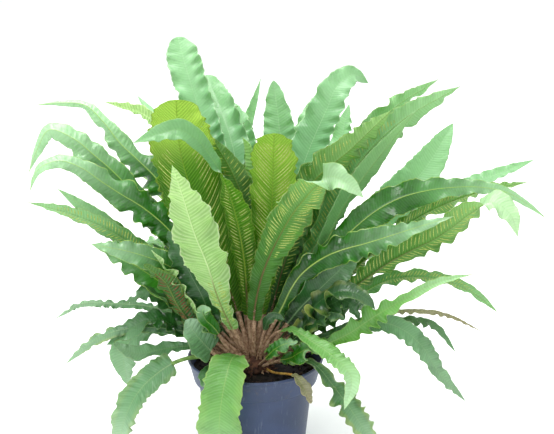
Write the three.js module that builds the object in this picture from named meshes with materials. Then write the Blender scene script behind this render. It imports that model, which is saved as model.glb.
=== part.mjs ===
// A potted fern of the hart's-tongue kind: a round nursery pot, its soil, the crown, and the strap-shaped
// fronds that rise from it.
// Millimetres, +Z up. The origin is the middle of the pot's base, on the surface that the pot stands on.
// +X is the plant's right, -Y its front and +Y its back.
import * as THREE from "three";

// ---- Driving dimensions ----

const POT_HEIGHT = 150;
const LIP_RADIUS = 95;
const BAND_HEIGHT = 33;
const BAND_FOOT_RADIUS = 86.5;
const NECK_RADIUS = 80;
const BASE_RADIUS = 68;
const POT_WALL = 1.8;
const POT_FLOOR = 3;
const LIP_HEIGHT = 3;
const BASE_CHAMFER = 2;
const LIP_ROUNDING = 1.5;
const LIP_EDGE = 0.8; // how far the lip's top edges are rounded in
const BAND_CHAMFER = 1;
const STEP_INSIDE = 2; // the inner step is this far below the outer one
const POT_SIDES = 36;

const SOIL_BELOW_LIP = 18;
const SOIL_MOUND = 3; // the soil is flat under the crown and falls a little towards the pot
const MOUND_RADIUS = 48;
const PIECE_GAP = 0.4;

const CROWN_RADIUS = 32;
const CROWN_RISE = 20;
const CROWN_CENTRE = [-3, -5];
const CROWN_SIDES = 24;
const CROWN_STEPS = 6;
const SEAT_SPACING = 5.6;
const LOWEST_SEAT = 0.16; // sine of the angle of the lowest seats above the crown's foot
const SEAT_ROUNDS = 200;

const STALK_RADIUS = 1.9;
const STALK_LENGTH = 60;
const FIRST_REACH = 14; // how far a stalk runs straight out of the crown
const STALK_STATIONS = 4;
const BLADE_STATIONS = 12;
const BLADE_EDGE = 0.8; // thickness at the margin
const BLADE_RIB = 2.2; // thickness over the rib
const FOLD = 0.2; // how far the margins rise above the rib, of the half width
const TIP_HALF_WIDTH = 1.6;
const FOOT_WIDTH = 0.42; // the blade's width at its foot, as a share of its greatest width
const FULL_WIDTH_AT = 0.55; // where along the blade it reaches that width, and by default starts to narrow
const RISE = 30; // how far an upper side looks up, in degrees, where the row doesn't say
const FOLD_BEFORE = 0.16; // a fold is spread over this share of the blade before it
const FOLD_AFTER = 0.1; // and this share after it

const SOIL_TOP = POT_HEIGHT - SOIL_BELOW_LIP;
const CROWN_FOOT = SOIL_TOP + SOIL_MOUND + PIECE_GAP;

const COLOURS = {
  pot: 0x343b48,
  soil: 0x1d1813,
  crown: 0x4a2f22,
  upper: 0x4e8f3a,
  lime: 0x8ab63c,
  dark: 0x2f6a35,
  mint: 0x7fb07c,
  dry: 0x8f9a5a,
};

const SATIN = 0.5; // roughnesses
const MATT = 0.9;

// ---- The fronds ----
// route: points [right, back, up] that the rib passes, from above the crown to the tip.
// width: the blade's greatest width. foot: its width at the foot, as a share of that.
// faces: the compass headings that the upper side looks to at the blade's foot and tip: 0 is +X, 90 the
// back and 270 the front. rise: how far it looks up, in degrees.
// folds: where along the blade it turns from the first heading to the second, if it turns at one place.
// stalk: the bare length below the blade. tapers: where along the blade it starts to narrow.

const FRONDS = [
  // Tall fronds at the back, upper sides to the front.
  { name: "tall_left", width: 48, tapers: 0.9, faces: [290, 280], colour: "mint",
    route: [[-20, 35, 245], [-35, 65, 325], [-60, 110, 400],
      [-85, 150, 475], [-104, 180, 530], [-114, 200, 562]] },
  { name: "tall_left_behind", width: 48, tapers: 0.8, faces: [280, 280], colour: "mint",
    route: [[-10, 48, 239], [-20, 98, 324], [-35, 152, 414], [-75, 230, 500]] },
  { name: "tall_middle", width: 46, tapers: 0.75, faces: [275, 270], colour: "mint",
    route: [[-6, 58, 232], [-12, 118, 327], [-22, 182, 403], [-45, 264, 454]] },
  { name: "back_sliver", width: 24, faces: [300, 290], colour: "mint",
    route: [[-5, 95, 215], [-20, 185, 285], [-25, 260, 375], [5, 300, 480]] },
  { name: "back_middle", width: 50, tapers: 0.7, faces: [265, 265], colour: "mint",
    route: [[18, 46, 223], [28, 112, 305], [36, 170, 393], [25, 204, 497]] },
  { name: "back_right_of_middle", width: 42, tapers: 0.7, faces: [250, 250], colour: "mint",
    route: [[30, 72, 213], [50, 142, 298], [65, 205, 387], [90, 272, 462]] },
  { name: "tall_right", width: 58, tapers: 0.6, faces: [245, 250], colour: "mint",
    route: [[22, 34, 243], [42, 64, 322], [68, 92, 402],
      [98, 112, 470], [122, 128, 514], [144, 142, 518], [160, 152, 504]] },
  { name: "back_right", width: 38, tapers: 0.7, faces: [240, 240], colour: "mint",
    route: [[50, 70, 200], [85, 140, 275], [115, 205, 360], [140, 260, 450]] },
  { name: "top_left_small", width: 32, faces: [95, 85], colour: "lime",
    route: [[-40, 45, 230], [-75, 85, 310], [-110, 125, 385], [-155, 165, 450], [-225, 205, 465]] },
  { name: "top_left_behind", width: 32, faces: [300, 300], colour: "mint",
    route: [[-30, 60, 220], [-75, 120, 320], [-120, 175, 405], [-180, 240, 467]] },

  // The right side, from the highest to those that hang.
  { name: "right_high_sori", width: 42, rise: 0, faces: [120, 110], colour: "lime",
    route: [[29, 9, 234], [48, 21, 309], [74, 37, 383], [130, 50, 433], [185, 62, 484]] },
  { name: "right_high_long", width: 40, rise: 8, faces: [120, 115], colour: "lime",
    route: [[51, 26, 243], [98, 58, 322], [144, 94, 401], [207, 118, 458], [290, 142, 501]] },
  { name: "right_high_behind", width: 40, rise: 5, faces: [130, 120], colour: "lime",
    route: [[45, 48, 243], [90, 88, 322], [135, 124, 398], [190, 158, 459], [265, 196, 500]] },
  { name: "right_pale", width: 36, faces: [125, 110], colour: "mint",
    route: [[55, 5, 225], [90, 20, 295], [125, 30, 365], [170, 45, 425], [220, 60, 485]] },
  { name: "right_inner_dark", width: 50, faces: [255, 255], colour: "dark",
    route: [[42, 50, 208], [78, 92, 280], [108, 122, 338], [132, 140, 380]] },
  { name: "right_pointed", width: 56, tapers: 0.65, faces: [250, 255], colour: "mint",
    route: [[75, 45, 215], [130, 90, 270], [185, 130, 320], [245, 165, 370], [290, 195, 435]] },
  { name: "right_far", width: 34, faces: [120, 250], colour: "mint",
    route: [[80, 40, 235], [155, 75, 290], [235, 110, 330], [320, 140, 360], [410, 175, 385]] },
  { name: "right_arch", width: 48, tapers: 0.45, faces: [262, 258], colour: "upper",
    route: [[75, 0, 258], [125, 20, 318], [190, 40, 362], [270, 58, 376], [350, 75, 365], [415, 90, 320]] },
  { name: "right_sori_behind", width: 38, faces: [110, 110], colour: "lime",
    route: [[85, 25, 215], [155, 50, 275], [225, 75, 325], [305, 95, 355], [390, 120, 366]] },
  { name: "right_front_arch", width: 38, faces: [280, 275], colour: "upper",
    route: [[35, -20, 225], [60, -25, 275], [100, -35, 310],
      [155, -40, 330], [215, -45, 352], [262, -48, 368]] },
  { name: "right_sori", width: 52, tapers: 0.62, faces: [100, 262], folds: 0.84, colour: "lime",
    route: [[75, 0, 200], [130, 5, 245], [190, 5, 290], [250, 0, 325],
      [305, -10, 370], [330, -20, 378], [350, -35, 335]] },
  { name: "right_dark", width: 44, faces: [285, 280], colour: "dark",
    route: [[35, -14, 189], [60, -22, 227], [90, -28, 261], [140, -32, 314]] },
  { name: "right_curly", width: 40, faces: [290, 280], colour: "upper",
    route: [[80, -30, 172], [125, -40, 197], [160, -50, 227],
      [200, -60, 257], [240, -65, 282], [285, -75, 297]] },
  { name: "right_low_dark", width: 36, faces: [110, 90], colour: "dark",
    route: [[85, 20, 190], [135, 25, 223], [185, 35, 248],
      [245, 40, 250], [300, 45, 230], [345, 50, 193]] },
  { name: "right_dry", width: 14, faces: [280, 280], rise: 60, colour: "dry",
    route: [[85, 0, 176], [145, 10, 197], [205, 15, 208], [265, 15, 203], [320, 20, 175]] },
  { name: "right_hanging", width: 28, faces: [280, 300], colour: "dark",
    route: [[85, -15, 177], [135, -20, 200], [185, -25, 206],
      [225, -30, 180], [255, -35, 135], [290, -40, 98]] },
  { name: "right_twisted", width: 16, faces: [300, 240], rise: 50, colour: "dark",
    route: [[80, 8, 163], [135, 20, 178], [190, 30, 187], [250, 35, 180], [285, 35, 138]] },

  // Small and arching fronds over the front of the rim.
  { name: "front_right_arch", width: 28, faces: [300, 300], rise: 55, colour: "upper",
    route: [[25, -25, 190], [50, -50, 208], [75, -75, 203],
      [105, -100, 190], [127, -122, 170], [117, -142, 135]] },
  { name: "front_right_twisted", width: 32, faces: [310, 265], rise: 55, colour: "upper",
    route: [[48, -32, 156], [78, -56, 162], [112, -80, 130], [140, -105, 98], [165, -122, 62]] },
  { name: "front_yellow", width: 17, faces: [300, 300], rise: 55, stalk: 75, colour: "dry",
    route: [[22, -35, 139], [46, -72, 153], [54, -86, 157], [66, -103, 148], [75, -114, 130]] },
  { name: "front_hanging", width: 58, tapers: 0.75, foot: 0.85, faces: [262, 262], rise: 62, stalk: 45,
    colour: "upper",
    route: [[-18, -40, 165], [-30, -78, 178], [-38, -110, 160],
      [-45, -125, 118], [-46, -130, 72], [-44, -128, 30]] },
  { name: "front_dark_small", width: 26, faces: [255, 255], rise: 60, stalk: 30, colour: "dark",
    route: [[-34, -39, 147], [-50, -61, 154], [-62, -81, 156], [-68, -100, 147]] },

  // The left side, from the lowest to the highest.
  { name: "left_hanging", width: 42, foot: 0.9, tapers: 0.4, faces: [262, 250], stalk: 90, rise: 40,
    colour: "dark",
    route: [[-72, -30, 160], [-105, -40, 158], [-142, -50, 136],
      [-165, -58, 110], [-180, -65, 75], [-188, -70, 32]] },
  { name: "left_bent", width: 26, faces: [270, 265], rise: 50, colour: "dark",
    route: [[-55, -18, 163], [-90, -22, 172], [-130, -22, 167], [-165, -20, 160], [-195, -22, 176]] },
  { name: "left_bent_down", width: 48, tapers: 0.75, faces: [262, 235], rise: 50, colour: "upper",
    route: [[-70, 8, 168], [-115, 12, 184], [-162, 14, 180], [-185, 15, 145], [-182, 15, 97]] },
  { name: "left_low_arch", width: 24, faces: [265, 250], rise: 40, colour: "dark",
    route: [[-65, -12, 180], [-110, -18, 195], [-150, -22, 200],
      [-190, -28, 197], [-230, -30, 177], [-260, -32, 150]] },
  { name: "left_crinkled", width: 22, faces: [280, 270], rise: 45, colour: "dark",
    route: [[-70, 12, 186], [-110, 18, 203], [-155, 25, 213],
      [-200, 30, 214], [-245, 35, 212], [-285, 40, 187]] },
  { name: "left_round", width: 48, foot: 0.9, tapers: 0.5, faces: [285, 290], rise: 40, stalk: 52,
    colour: "upper",
    route: [[-36, -27, 150], [-57, -42, 171], [-76, -54, 199], [-92, -62, 227]] },
  { name: "left_brown_sori", width: 36, faces: [70, 80], colour: "dark",
    route: [[-50, -28, 178], [-80, -40, 208], [-102, -48, 242], [-118, -55, 279], [-145, -62, 306]] },
  { name: "left_low_green", width: 34, faces: [270, 260], rise: 40, colour: "upper",
    route: [[-45, -18, 204], [-78, -28, 255], [-112, -35, 292], [-160, -42, 315], [-215, -50, 330]] },
  { name: "left_sori_low", width: 32, faces: [85, 95], colour: "dark",
    route: [[-70, -2, 212], [-105, -5, 257], [-150, -8, 302],
      [-195, -12, 337], [-245, -18, 362], [-300, -25, 380]] },
  { name: "left_small_tip", width: 26, faces: [270, 265], colour: "upper",
    route: [[-70, 20, 205], [-120, 35, 250], [-170, 50, 292], [-225, 60, 335], [-277, 68, 372]] },
  { name: "left_wavy", width: 42, tapers: 0.65, faces: [275, 250], colour: "upper",
    route: [[-62, 14, 233], [-95, 20, 296], [-140, 24, 347], [-195, 26, 384],
      [-250, 24, 421], [-285, 20, 421], [-305, 16, 383]] },
  { name: "left_middle_arch", width: 36, faces: [282, 258], colour: "upper",
    route: [[-65, 22, 240], [-112, 35, 305], [-160, 45, 363],
      [-215, 55, 418], [-280, 62, 458], [-315, 68, 395]] },
  { name: "left_high_arch", width: 38, faces: [282, 255], colour: "upper",
    route: [[-60, 38, 243], [-92, 62, 312], [-135, 82, 377],
      [-190, 100, 428], [-240, 115, 480], [-310, 125, 478]] },
  { name: "left_pale_behind", width: 32, faces: [75, 85], colour: "mint",
    route: [[-48, 42, 220], [-80, 72, 272], [-112, 98, 328], [-152, 115, 380], [-202, 128, 420]] },

  // The middle of the plant, mostly undersides that lean to the front.
  { name: "middle_wide", width: 82, tapers: 0.8, faces: [75, 85], rise: 15, colour: "lime",
    route: [[-30, 0, 235], [-58, 0, 305], [-80, -2, 375], [-98, -5, 445], [-102, -8, 515]] },
  { name: "middle_folded", width: 46, tapers: 0.6, faces: [75, 262], folds: 0.62, colour: "lime",
    route: [[-10, -20, 240], [-14, -32, 305], [-24, -45, 370],
      [-45, -58, 435], [-90, -75, 490], [-150, -90, 478]] },
  { name: "middle_left_sori", width: 42, faces: [85, 85], rise: 15, colour: "lime",
    route: [[-4, 8, 225], [-2, 12, 290], [-10, 14, 350], [-28, 15, 405], [-58, 15, 460]] },
  { name: "middle_slim", width: 32, faces: [85, 80], rise: 15, colour: "lime",
    route: [[0, 18, 231], [2, 34, 300], [-4, 44, 361], [-14, 50, 430]] },
  { name: "middle_front_pale", width: 58, tapers: 0.35, faces: [80, 85], rise: 10, colour: "lime",
    route: [[-32, -45, 213], [-48, -65, 263], [-60, -88, 315],
      [-75, -110, 367], [-85, -130, 415], [-97, -150, 465]] },
  { name: "middle_upright", width: 60, tapers: 0.85, faces: [92, 90], rise: 15, colour: "lime",
    route: [[10, -12, 226], [18, -22, 307], [24, -30, 392], [26, -36, 477]] },
  { name: "middle_front", width: 48, tapers: 0.6, faces: [78, 262], folds: 0.8, rise: 20, colour: "lime",
    route: [[0, -35, 232], [12, -55, 293], [34, -78, 352],
      [60, -100, 402], [100, -128, 446], [136, -150, 424]] },
  { name: "middle_right_dark", width: 38, faces: [100, 100], colour: "dark",
    route: [[20, -2, 211], [36, 2, 273], [56, 6, 336], [76, 12, 402]] },

  // Low fronds round the back.
  { name: "back_low_middle", width: 42, faces: [90, 90], rise: 80, colour: "upper",
    route: [[-14, 60, 185], [-45, 140, 238], [-75, 225, 255], [-95, 290, 205]] },
  { name: "back_low_right", width: 42, faces: [60, 60], rise: 80, colour: "upper",
    route: [[40, 60, 180], [90, 130, 225], [145, 195, 238], [190, 250, 195]] },
  { name: "back_low_left", width: 42, faces: [130, 130], rise: 80, colour: "upper",
    route: [[-45, 55, 195], [-105, 125, 245], [-160, 185, 255], [-200, 235, 210]] },
];

// ---- Small helpers ----

const radians = THREE.MathUtils.degToRad;

function piece(name, geometry, colour, roughness) {
  const material = new THREE.MeshStandardMaterial({ color: COLOURS[colour], roughness, metalness: 0 });
  const mesh = new THREE.Mesh(geometry, material);
  mesh.name = name;
  return mesh;
}

// A solid of revolution about Z from points [radius, height] that start and end on the axis.
function turned(points, sides) {
  const profile = points.map(([radius, height]) => new THREE.Vector2(radius, height));
  return new THREE.LatheGeometry(profile, sides).rotateX(Math.PI / 2);
}

// ---- Pot, soil and crown ----

// The outer wall: a tapering side, a step out to the deep band, and a rolled lip.
const BAND_FOOT = POT_HEIGHT - BAND_HEIGHT;

function potOutside() {
  return [
    [0, 0],
    [BASE_RADIUS - BASE_CHAMFER, 0],
    [BASE_RADIUS, BASE_CHAMFER],
    [NECK_RADIUS, BAND_FOOT],
    [BAND_FOOT_RADIUS - BAND_CHAMFER, BAND_FOOT],
    [BAND_FOOT_RADIUS, BAND_FOOT + BAND_CHAMFER],
    [LIP_RADIUS - LIP_ROUNDING, POT_HEIGHT - LIP_HEIGHT],
    [LIP_RADIUS, POT_HEIGHT - LIP_HEIGHT / 2],
    [LIP_RADIUS - LIP_EDGE, POT_HEIGHT],
  ];
}

// The inner wall from the lip down, one wall thickness inside the outer one.
function potInside() {
  return [
    [LIP_RADIUS - LIP_EDGE - POT_WALL, POT_HEIGHT],
    [LIP_RADIUS - LIP_ROUNDING - POT_WALL, POT_HEIGHT - LIP_HEIGHT],
    [BAND_FOOT_RADIUS - POT_WALL, BAND_FOOT + POT_WALL],
    [NECK_RADIUS - POT_WALL, BAND_FOOT - STEP_INSIDE],
    [BASE_RADIUS - POT_WALL, POT_FLOOR],
    [0, POT_FLOOR],
  ];
}

// The inner radius of the pot at a height, off the straight stretches of potInside.
function boreAt(height) {
  const wall = potInside();
  const i = wall.findIndex(([, level]) => level <= height);
  const [above, below] = [wall[i - 1], wall[i]];
  const part = (height - below[1]) / (above[1] - below[1]);
  return THREE.MathUtils.lerp(below[0], above[0], part);
}

function soilProfile() {
  const clear = (height) => [boreAt(height) - PIECE_GAP, height];
  return [
    [0, POT_FLOOR + PIECE_GAP],
    clear(POT_FLOOR + PIECE_GAP),
    clear(BAND_FOOT - STEP_INSIDE),
    clear(BAND_FOOT + POT_WALL),
    clear(SOIL_TOP),
    [MOUND_RADIUS, SOIL_TOP + SOIL_MOUND],
    [0, SOIL_TOP + SOIL_MOUND],
  ];
}

// The crown is a low dome: a quarter of an ellipse turned about its own axis.
function crownGeometry() {
  const profile = [[0, 0]];
  for (let i = 0; i <= CROWN_STEPS; i++) {
    const a = (i / CROWN_STEPS) * (Math.PI / 2);
    profile.push([CROWN_RADIUS * Math.cos(a), CROWN_RISE * Math.sin(a)]);
  }
  return turned(profile, CROWN_SIDES).translate(...CROWN_CENTRE, CROWN_FOOT);
}

const crownMiddle = new THREE.Vector3(...CROWN_CENTRE, CROWN_FOOT);

// The point and outward normal of the crown in a direction.
function onCrown(direction) {
  const { x, y, z } = direction;
  const reach = 1 / Math.sqrt((x * x + y * y) / CROWN_RADIUS ** 2 + (z * z) / CROWN_RISE ** 2);
  const point = direction.clone().multiplyScalar(reach);
  const normal = new THREE.Vector3(
    point.x / CROWN_RADIUS ** 2, point.y / CROWN_RADIUS ** 2, point.z / CROWN_RISE ** 2,
  ).normalize();
  return { point: point.add(crownMiddle), normal };
}

// Seats start where each frond's route leads and spread until they are a stalk's width apart.
function spreadSeats() {
  const seats = FRONDS.map(({ route }) =>
    new THREE.Vector3(...route[0]).sub(crownMiddle).normalize());
  const least = SEAT_SPACING / CROWN_RADIUS;
  for (let round = 0; round < SEAT_ROUNDS; round++) {
    for (let i = 0; i < seats.length; i++) {
      for (let j = 0; j < i; j++) {
        const apart = seats[i].clone().sub(seats[j]);
        const gap = apart.length();
        if (gap >= least) continue;
        apart.multiplyScalar((0.5 * (least - gap)) / Math.max(gap, 1e-6));
        seats[i].add(apart).normalize();
        seats[j].sub(apart).normalize();
      }
    }
    for (const seat of seats) {
      seat.z = Math.max(seat.z, LOWEST_SEAT);
      seat.normalize();
    }
  }
  return seats;
}

// ---- Frond solids ----

function heading(degrees, rise) {
  const a = radians(degrees);
  const e = radians(rise);
  return new THREE.Vector3(Math.cos(a) * Math.cos(e), Math.sin(a) * Math.cos(e), Math.sin(e));
}

// Where the upper side looks, a share u of the way along the blade.
function facing({ faces, rise = RISE, folds }, u) {
  const share = folds ? THREE.MathUtils.smoothstep(u, folds - FOLD_BEFORE, folds + FOLD_AFTER) : u;
  return heading(faces[0], rise).lerp(heading(faces[1], rise), share);
}

// Half the blade's width a share u of the way along it: a slow widening, then the taper to the tip.
function halfWidth({ width, foot = FOOT_WIDTH, tapers = FULL_WIDTH_AT }, u) {
  const spread = THREE.MathUtils.lerp(foot, 1, THREE.MathUtils.smoothstep(u, 0, FULL_WIDTH_AT));
  const tip = Math.sqrt(1 - THREE.MathUtils.smoothstep(u, tapers, 1.02) ** 1.5);
  return Math.max(0.5 * width * spread * tip, TIP_HALF_WIDTH);
}

// The stations of a frond: points along its spline, with the share of the blade reached, which is below 0
// on the stalk.
function stationsOf(frond, seat) {
  const { point, normal } = onCrown(seat);
  const start = point.clone().addScaledVector(normal, PIECE_GAP);
  const clear = point.clone().addScaledVector(seat, FIRST_REACH);
  const points = [start, clear, ...frond.route.map((p) => new THREE.Vector3(...p))];
  const spline = new THREE.CatmullRomCurve3(points, false, "centripetal");
  const length = spline.getLength();
  const stalk = frond.stalk ?? STALK_LENGTH;
  const stations = [];
  const add = (reach) => {
    const share = THREE.MathUtils.clamp(reach / length, 0, 1);
    stations.push({ centre: spline.getPointAt(share), u: (reach - stalk) / (length - stalk) });
  };
  for (let i = 0; i < STALK_STATIONS; i++) add((stalk * i) / STALK_STATIONS);
  for (let i = 0; i <= BLADE_STATIONS; i++) add(stalk + ((length - stalk) * i) / BLADE_STATIONS);
  stations[0].along = normal;
  return stations;
}

const STALK_CORNERS = [150, 90, 30, -30, -90, -150].map(radians);

// Six points round the rib at a station: margin, rib and margin above, then the same below.
function ringAt(frond, stations, i) {
  const { centre, u } = stations[i];
  const before = stations[Math.max(i - 1, 0)].centre;
  const after = stations[Math.min(i + 1, stations.length - 1)].centre;
  const along = stations[i].along ?? after.clone().sub(before).normalize();
  const look = facing(frond, THREE.MathUtils.clamp(u, 0, 1));
  const top = look.addScaledVector(along, -look.dot(along)).normalize();
  const right = new THREE.Vector3().crossVectors(along, top);
  const at = (side, height) => centre.clone().addScaledVector(right, side).addScaledVector(top, height);
  if (u < 0) {
    return STALK_CORNERS.map((a) => at(STALK_RADIUS * Math.cos(a), STALK_RADIUS * Math.sin(a)));
  }
  const half = halfWidth(frond, u);
  const lift = FOLD * half;
  return [
    at(-half, lift + BLADE_EDGE / 2),
    at(0, BLADE_RIB / 2),
    at(half, lift + BLADE_EDGE / 2),
    at(half, lift - BLADE_EDGE / 2),
    at(0, -BLADE_RIB / 2),
    at(-half, lift - BLADE_EDGE / 2),
  ];
}

// Rings joined side to side, with flat ends.
function frondGeometry(rings) {
  const corners = rings.flat();
  const faces = [];
  const size = rings[0].length;
  for (let i = 0; i + 1 < rings.length; i++) {
    for (let k = 0; k < size; k++) {
      const a = i * size + k;
      const b = i * size + ((k + 1) % size);
      faces.push(a, b, a + size, b, b + size, a + size);
    }
  }
  const last = (rings.length - 1) * size;
  const cap = [[0, 1, 5], [1, 4, 5], [1, 2, 4], [2, 3, 4]];
  for (const [a, b, c] of cap) {
    faces.push(a, c, b);
    faces.push(last + a, last + b, last + c);
  }
  const geometry = new THREE.BufferGeometry().setFromPoints(corners);
  geometry.setIndex(faces);
  geometry.computeVertexNormals();
  return geometry;
}

const plant = new THREE.Group();
plant.add(piece("pot", turned([...potOutside(), ...potInside()], POT_SIDES), "pot", SATIN));
plant.add(piece("soil", turned(soilProfile(), POT_SIDES), "soil", MATT));
plant.add(piece("crown", crownGeometry(), "crown", MATT));
const seats = spreadSeats();
FRONDS.forEach((frond, i) => {
  const stations = stationsOf(frond, seats[i]);
  const rings = stations.map((_, k) => ringAt(frond, stations, k));
  plant.add(piece(frond.name, frondGeometry(rings), frond.colour, SATIN));
});

export default plant;
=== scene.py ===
# %% [markdown]
# # A potted hart's-tongue fern
# A hart's-tongue fern grows whole, strap-shaped fronds from one woody crown. Each is a scaly brown stalk
# that runs on as the rib of a blade, and the blade's margins ripple because they grow faster than its rib.
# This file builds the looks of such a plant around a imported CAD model: the model says where every frond runs
# and how wide it is, and the cells below turn each plain strap into a leaf with ripples, veins and spores.

# %% Load the frame
import math

import bmesh
import bpy
import numpy as np
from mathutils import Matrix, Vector


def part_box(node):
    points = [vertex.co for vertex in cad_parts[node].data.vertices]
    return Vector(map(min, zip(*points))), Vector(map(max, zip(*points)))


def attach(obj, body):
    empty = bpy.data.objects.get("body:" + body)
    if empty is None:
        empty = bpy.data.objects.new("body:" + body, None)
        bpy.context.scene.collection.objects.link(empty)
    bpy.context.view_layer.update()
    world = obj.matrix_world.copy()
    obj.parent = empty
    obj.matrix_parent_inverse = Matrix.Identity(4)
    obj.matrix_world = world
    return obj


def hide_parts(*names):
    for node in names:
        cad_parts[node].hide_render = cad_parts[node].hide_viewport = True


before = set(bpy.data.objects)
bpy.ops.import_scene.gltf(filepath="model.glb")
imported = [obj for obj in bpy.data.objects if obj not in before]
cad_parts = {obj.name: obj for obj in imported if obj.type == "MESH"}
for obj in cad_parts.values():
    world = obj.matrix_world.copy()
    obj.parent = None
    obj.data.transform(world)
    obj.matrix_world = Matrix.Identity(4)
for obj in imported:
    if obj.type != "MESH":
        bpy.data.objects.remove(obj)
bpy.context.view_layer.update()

MM = 0.001

# %% [markdown]
# ## Camera, floor and light
# The plant is seen from a little above. A long lens a good way off keeps the front and back fronds in
# proportion. The floor is plain white and the light is large and soft: a white world fills every shadow, two
# wide panels above and behind send light through the blades, and a weak one in front lifts the pot.

# %% Camera
CAMERA_ASIDE = 0.03
CAMERA_DISTANCE = 1.8
CAMERA_LIFT = math.radians(23.8)
CAMERA_PITCH = math.radians(17.67)
LENS = 83.2  # millimetres, on a film 36 millimetres wide
RIM_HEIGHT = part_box("pot")[1].z

camera_data = bpy.data.cameras.new("camera")
camera_data.lens = LENS
camera_data.sensor_width = 36
camera_data.clip_end = 60
camera = bpy.data.objects.new("camera", camera_data)
camera.location = (
    CAMERA_ASIDE,
    -CAMERA_DISTANCE * math.cos(CAMERA_LIFT),
    RIM_HEIGHT + CAMERA_DISTANCE * math.sin(CAMERA_LIFT),
)
camera.rotation_euler = (math.pi / 2 - CAMERA_PITCH, 0, 0)
bpy.context.scene.collection.objects.link(camera)
bpy.context.scene.camera = camera
bpy.context.scene.view_settings.view_transform = "Standard"
print("camera at", [round(v, 3) for v in camera.location])


# %% Floor and light
def paint(red, green, blue):
    """A colour picked on a screen, 0 to 255 each, as the linear colour that shaders use."""
    share = [c / 255 for c in (red, green, blue)]
    return [c / 12.92 if c < 0.04045 else ((c + 0.055) / 1.055) ** 2.4 for c in share] + [1]


def panel(name, place, aim, size, watts):
    """A soft light panel that faces a point."""
    data = bpy.data.lights.new(name, "AREA")
    data.shape, data.size, data.energy = "DISK", size, watts
    lamp = bpy.data.objects.new(name, data)
    lamp.location = place
    lamp.rotation_mode = "QUATERNION"
    lamp.rotation_quaternion = (Vector(aim) - Vector(place)).to_track_quat("-Z", "Y")
    bpy.context.scene.collection.objects.link(lamp)


PLANT_MIDDLE = (CAMERA_ASIDE, 0, 0.32)
WORLD_STRENGTH = 1.05
FLOOR_REACH = 9
panel("panel_above", (-0.3, 0.1, 2.2), PLANT_MIDDLE, 1.6, 50)
panel("panel_front", (-0.9, -2.2, 1.6), PLANT_MIDDLE, 1.5, 14)
panel("panel_behind", (0.8, 2.0, 1.2), PLANT_MIDDLE, 1.5, 24)

world = bpy.data.worlds.new("white_room")
world.use_nodes = True
world.node_tree.nodes["Background"].inputs["Color"].default_value = (1, 1, 1, 1)
world.node_tree.nodes["Background"].inputs["Strength"].default_value = WORLD_STRENGTH
bpy.context.scene.world = world

floor_mesh = bpy.data.meshes.new("floor")
floor_mesh.from_pydata(
    [(x * FLOOR_REACH, y * FLOOR_REACH, 0) for x, y in ((-1, -1), (1, -1), (1, 1), (-1, 1))],
    [], [(0, 1, 2, 3)],
)
floor_finish = bpy.data.materials.new("pale_floor")
floor_finish.use_nodes = True
floor_shader = floor_finish.node_tree.nodes["Principled BSDF"]
floor_shader.inputs["Base Color"].default_value = paint(248, 249, 250)
floor_shader.inputs["Roughness"].default_value = 0.8
floor_shader.inputs["Specular IOR Level"].default_value = 0.1
floor_mesh.materials.append(floor_finish)
floor = bpy.data.objects.new("floor", floor_mesh)
bpy.context.scene.collection.objects.link(floor)
print("lights:", [light.name for light in bpy.data.lights])

# %% [markdown]
# ## Reading the fronds from the frame
# The CAD solid of a frond is a chain of six-cornered rings: a hexagon on the stalk, then margin, rib and
# margin above and below along the blade. Walking outwards from the crown gives the rings back in order, and
# a smooth curve through them gives the rib, the width and the way the upper side looks at every point.
# Reading them here, in place of copying the numbers, means a change in the CAD model reaches the leaves.

# %% Rings of a frond's solid
STALK_RINGS = 4
SAME_POINT = 0.02 * MM
crown_low, crown_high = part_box("crown")
CROWN_MIDDLE = np.array([
    (crown_low.x + crown_high.x) / 2, (crown_low.y + crown_high.y) / 2, crown_low.z])


def unit(vectors):
    """Every vector of a list made one long."""
    return vectors / np.linalg.norm(vectors, axis=-1, keepdims=True)


def solid_rings(node):
    """The corner points of a frond's solid in rings of six, from the crown to the tip."""
    solid = bmesh.new()
    solid.from_mesh(node.data)
    bmesh.ops.remove_doubles(solid, verts=solid.verts, dist=SAME_POINT)
    by_reach = sorted(solid.verts, key=lambda v: np.linalg.norm(np.array(v.co) - CROWN_MIDDLE))
    ring, seen, rings = by_reach[:6], set(by_reach[:6]), []
    while ring:
        rings.append(np.array([v.co for v in ring], float))
        beside = {edge.other_vert(v) for v in ring for edge in v.link_edges} - seen
        seen |= beside
        ring = sorted(beside, key=lambda v: v.index)
    solid.free()
    return rings


def read_blade_ring(ring, along):
    """The rib's middle, the half width and the upper side's direction. Margins are the closest pairs."""
    gaps = [(np.linalg.norm(ring[i] - ring[j]), i, j) for i in range(6) for j in range(i)]
    gaps.sort()
    first = gaps[0][1:]
    second = next(g[1:] for g in gaps if not set(g[1:]) & set(first))
    one, two = ring[list(first)].mean(0), ring[list(second)].mean(0)
    rib = ring[[k for k in range(6) if k not in first + second]].mean(0)
    top = (one + two) / 2 - rib
    top -= along * top.dot(along)
    return rib, np.linalg.norm(one - two) / 2, top / np.linalg.norm(top)


def read_frond(node):
    """Station centres, and the half widths and upper directions of the blade's stations."""
    rings = solid_rings(node)
    middles = np.array([ring.mean(0) for ring in rings])
    alongs = unit(np.gradient(middles, axis=0))
    centres, halves, tops = list(middles[:STALK_RINGS]), [], []
    for ring, along in list(zip(rings, alongs))[STALK_RINGS:]:
        rib, half, top = read_blade_ring(ring, along)
        centres.append(rib)
        halves.append(half)
        tops.append(top)
    return np.array(centres), np.array(halves), np.array(tops)


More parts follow.
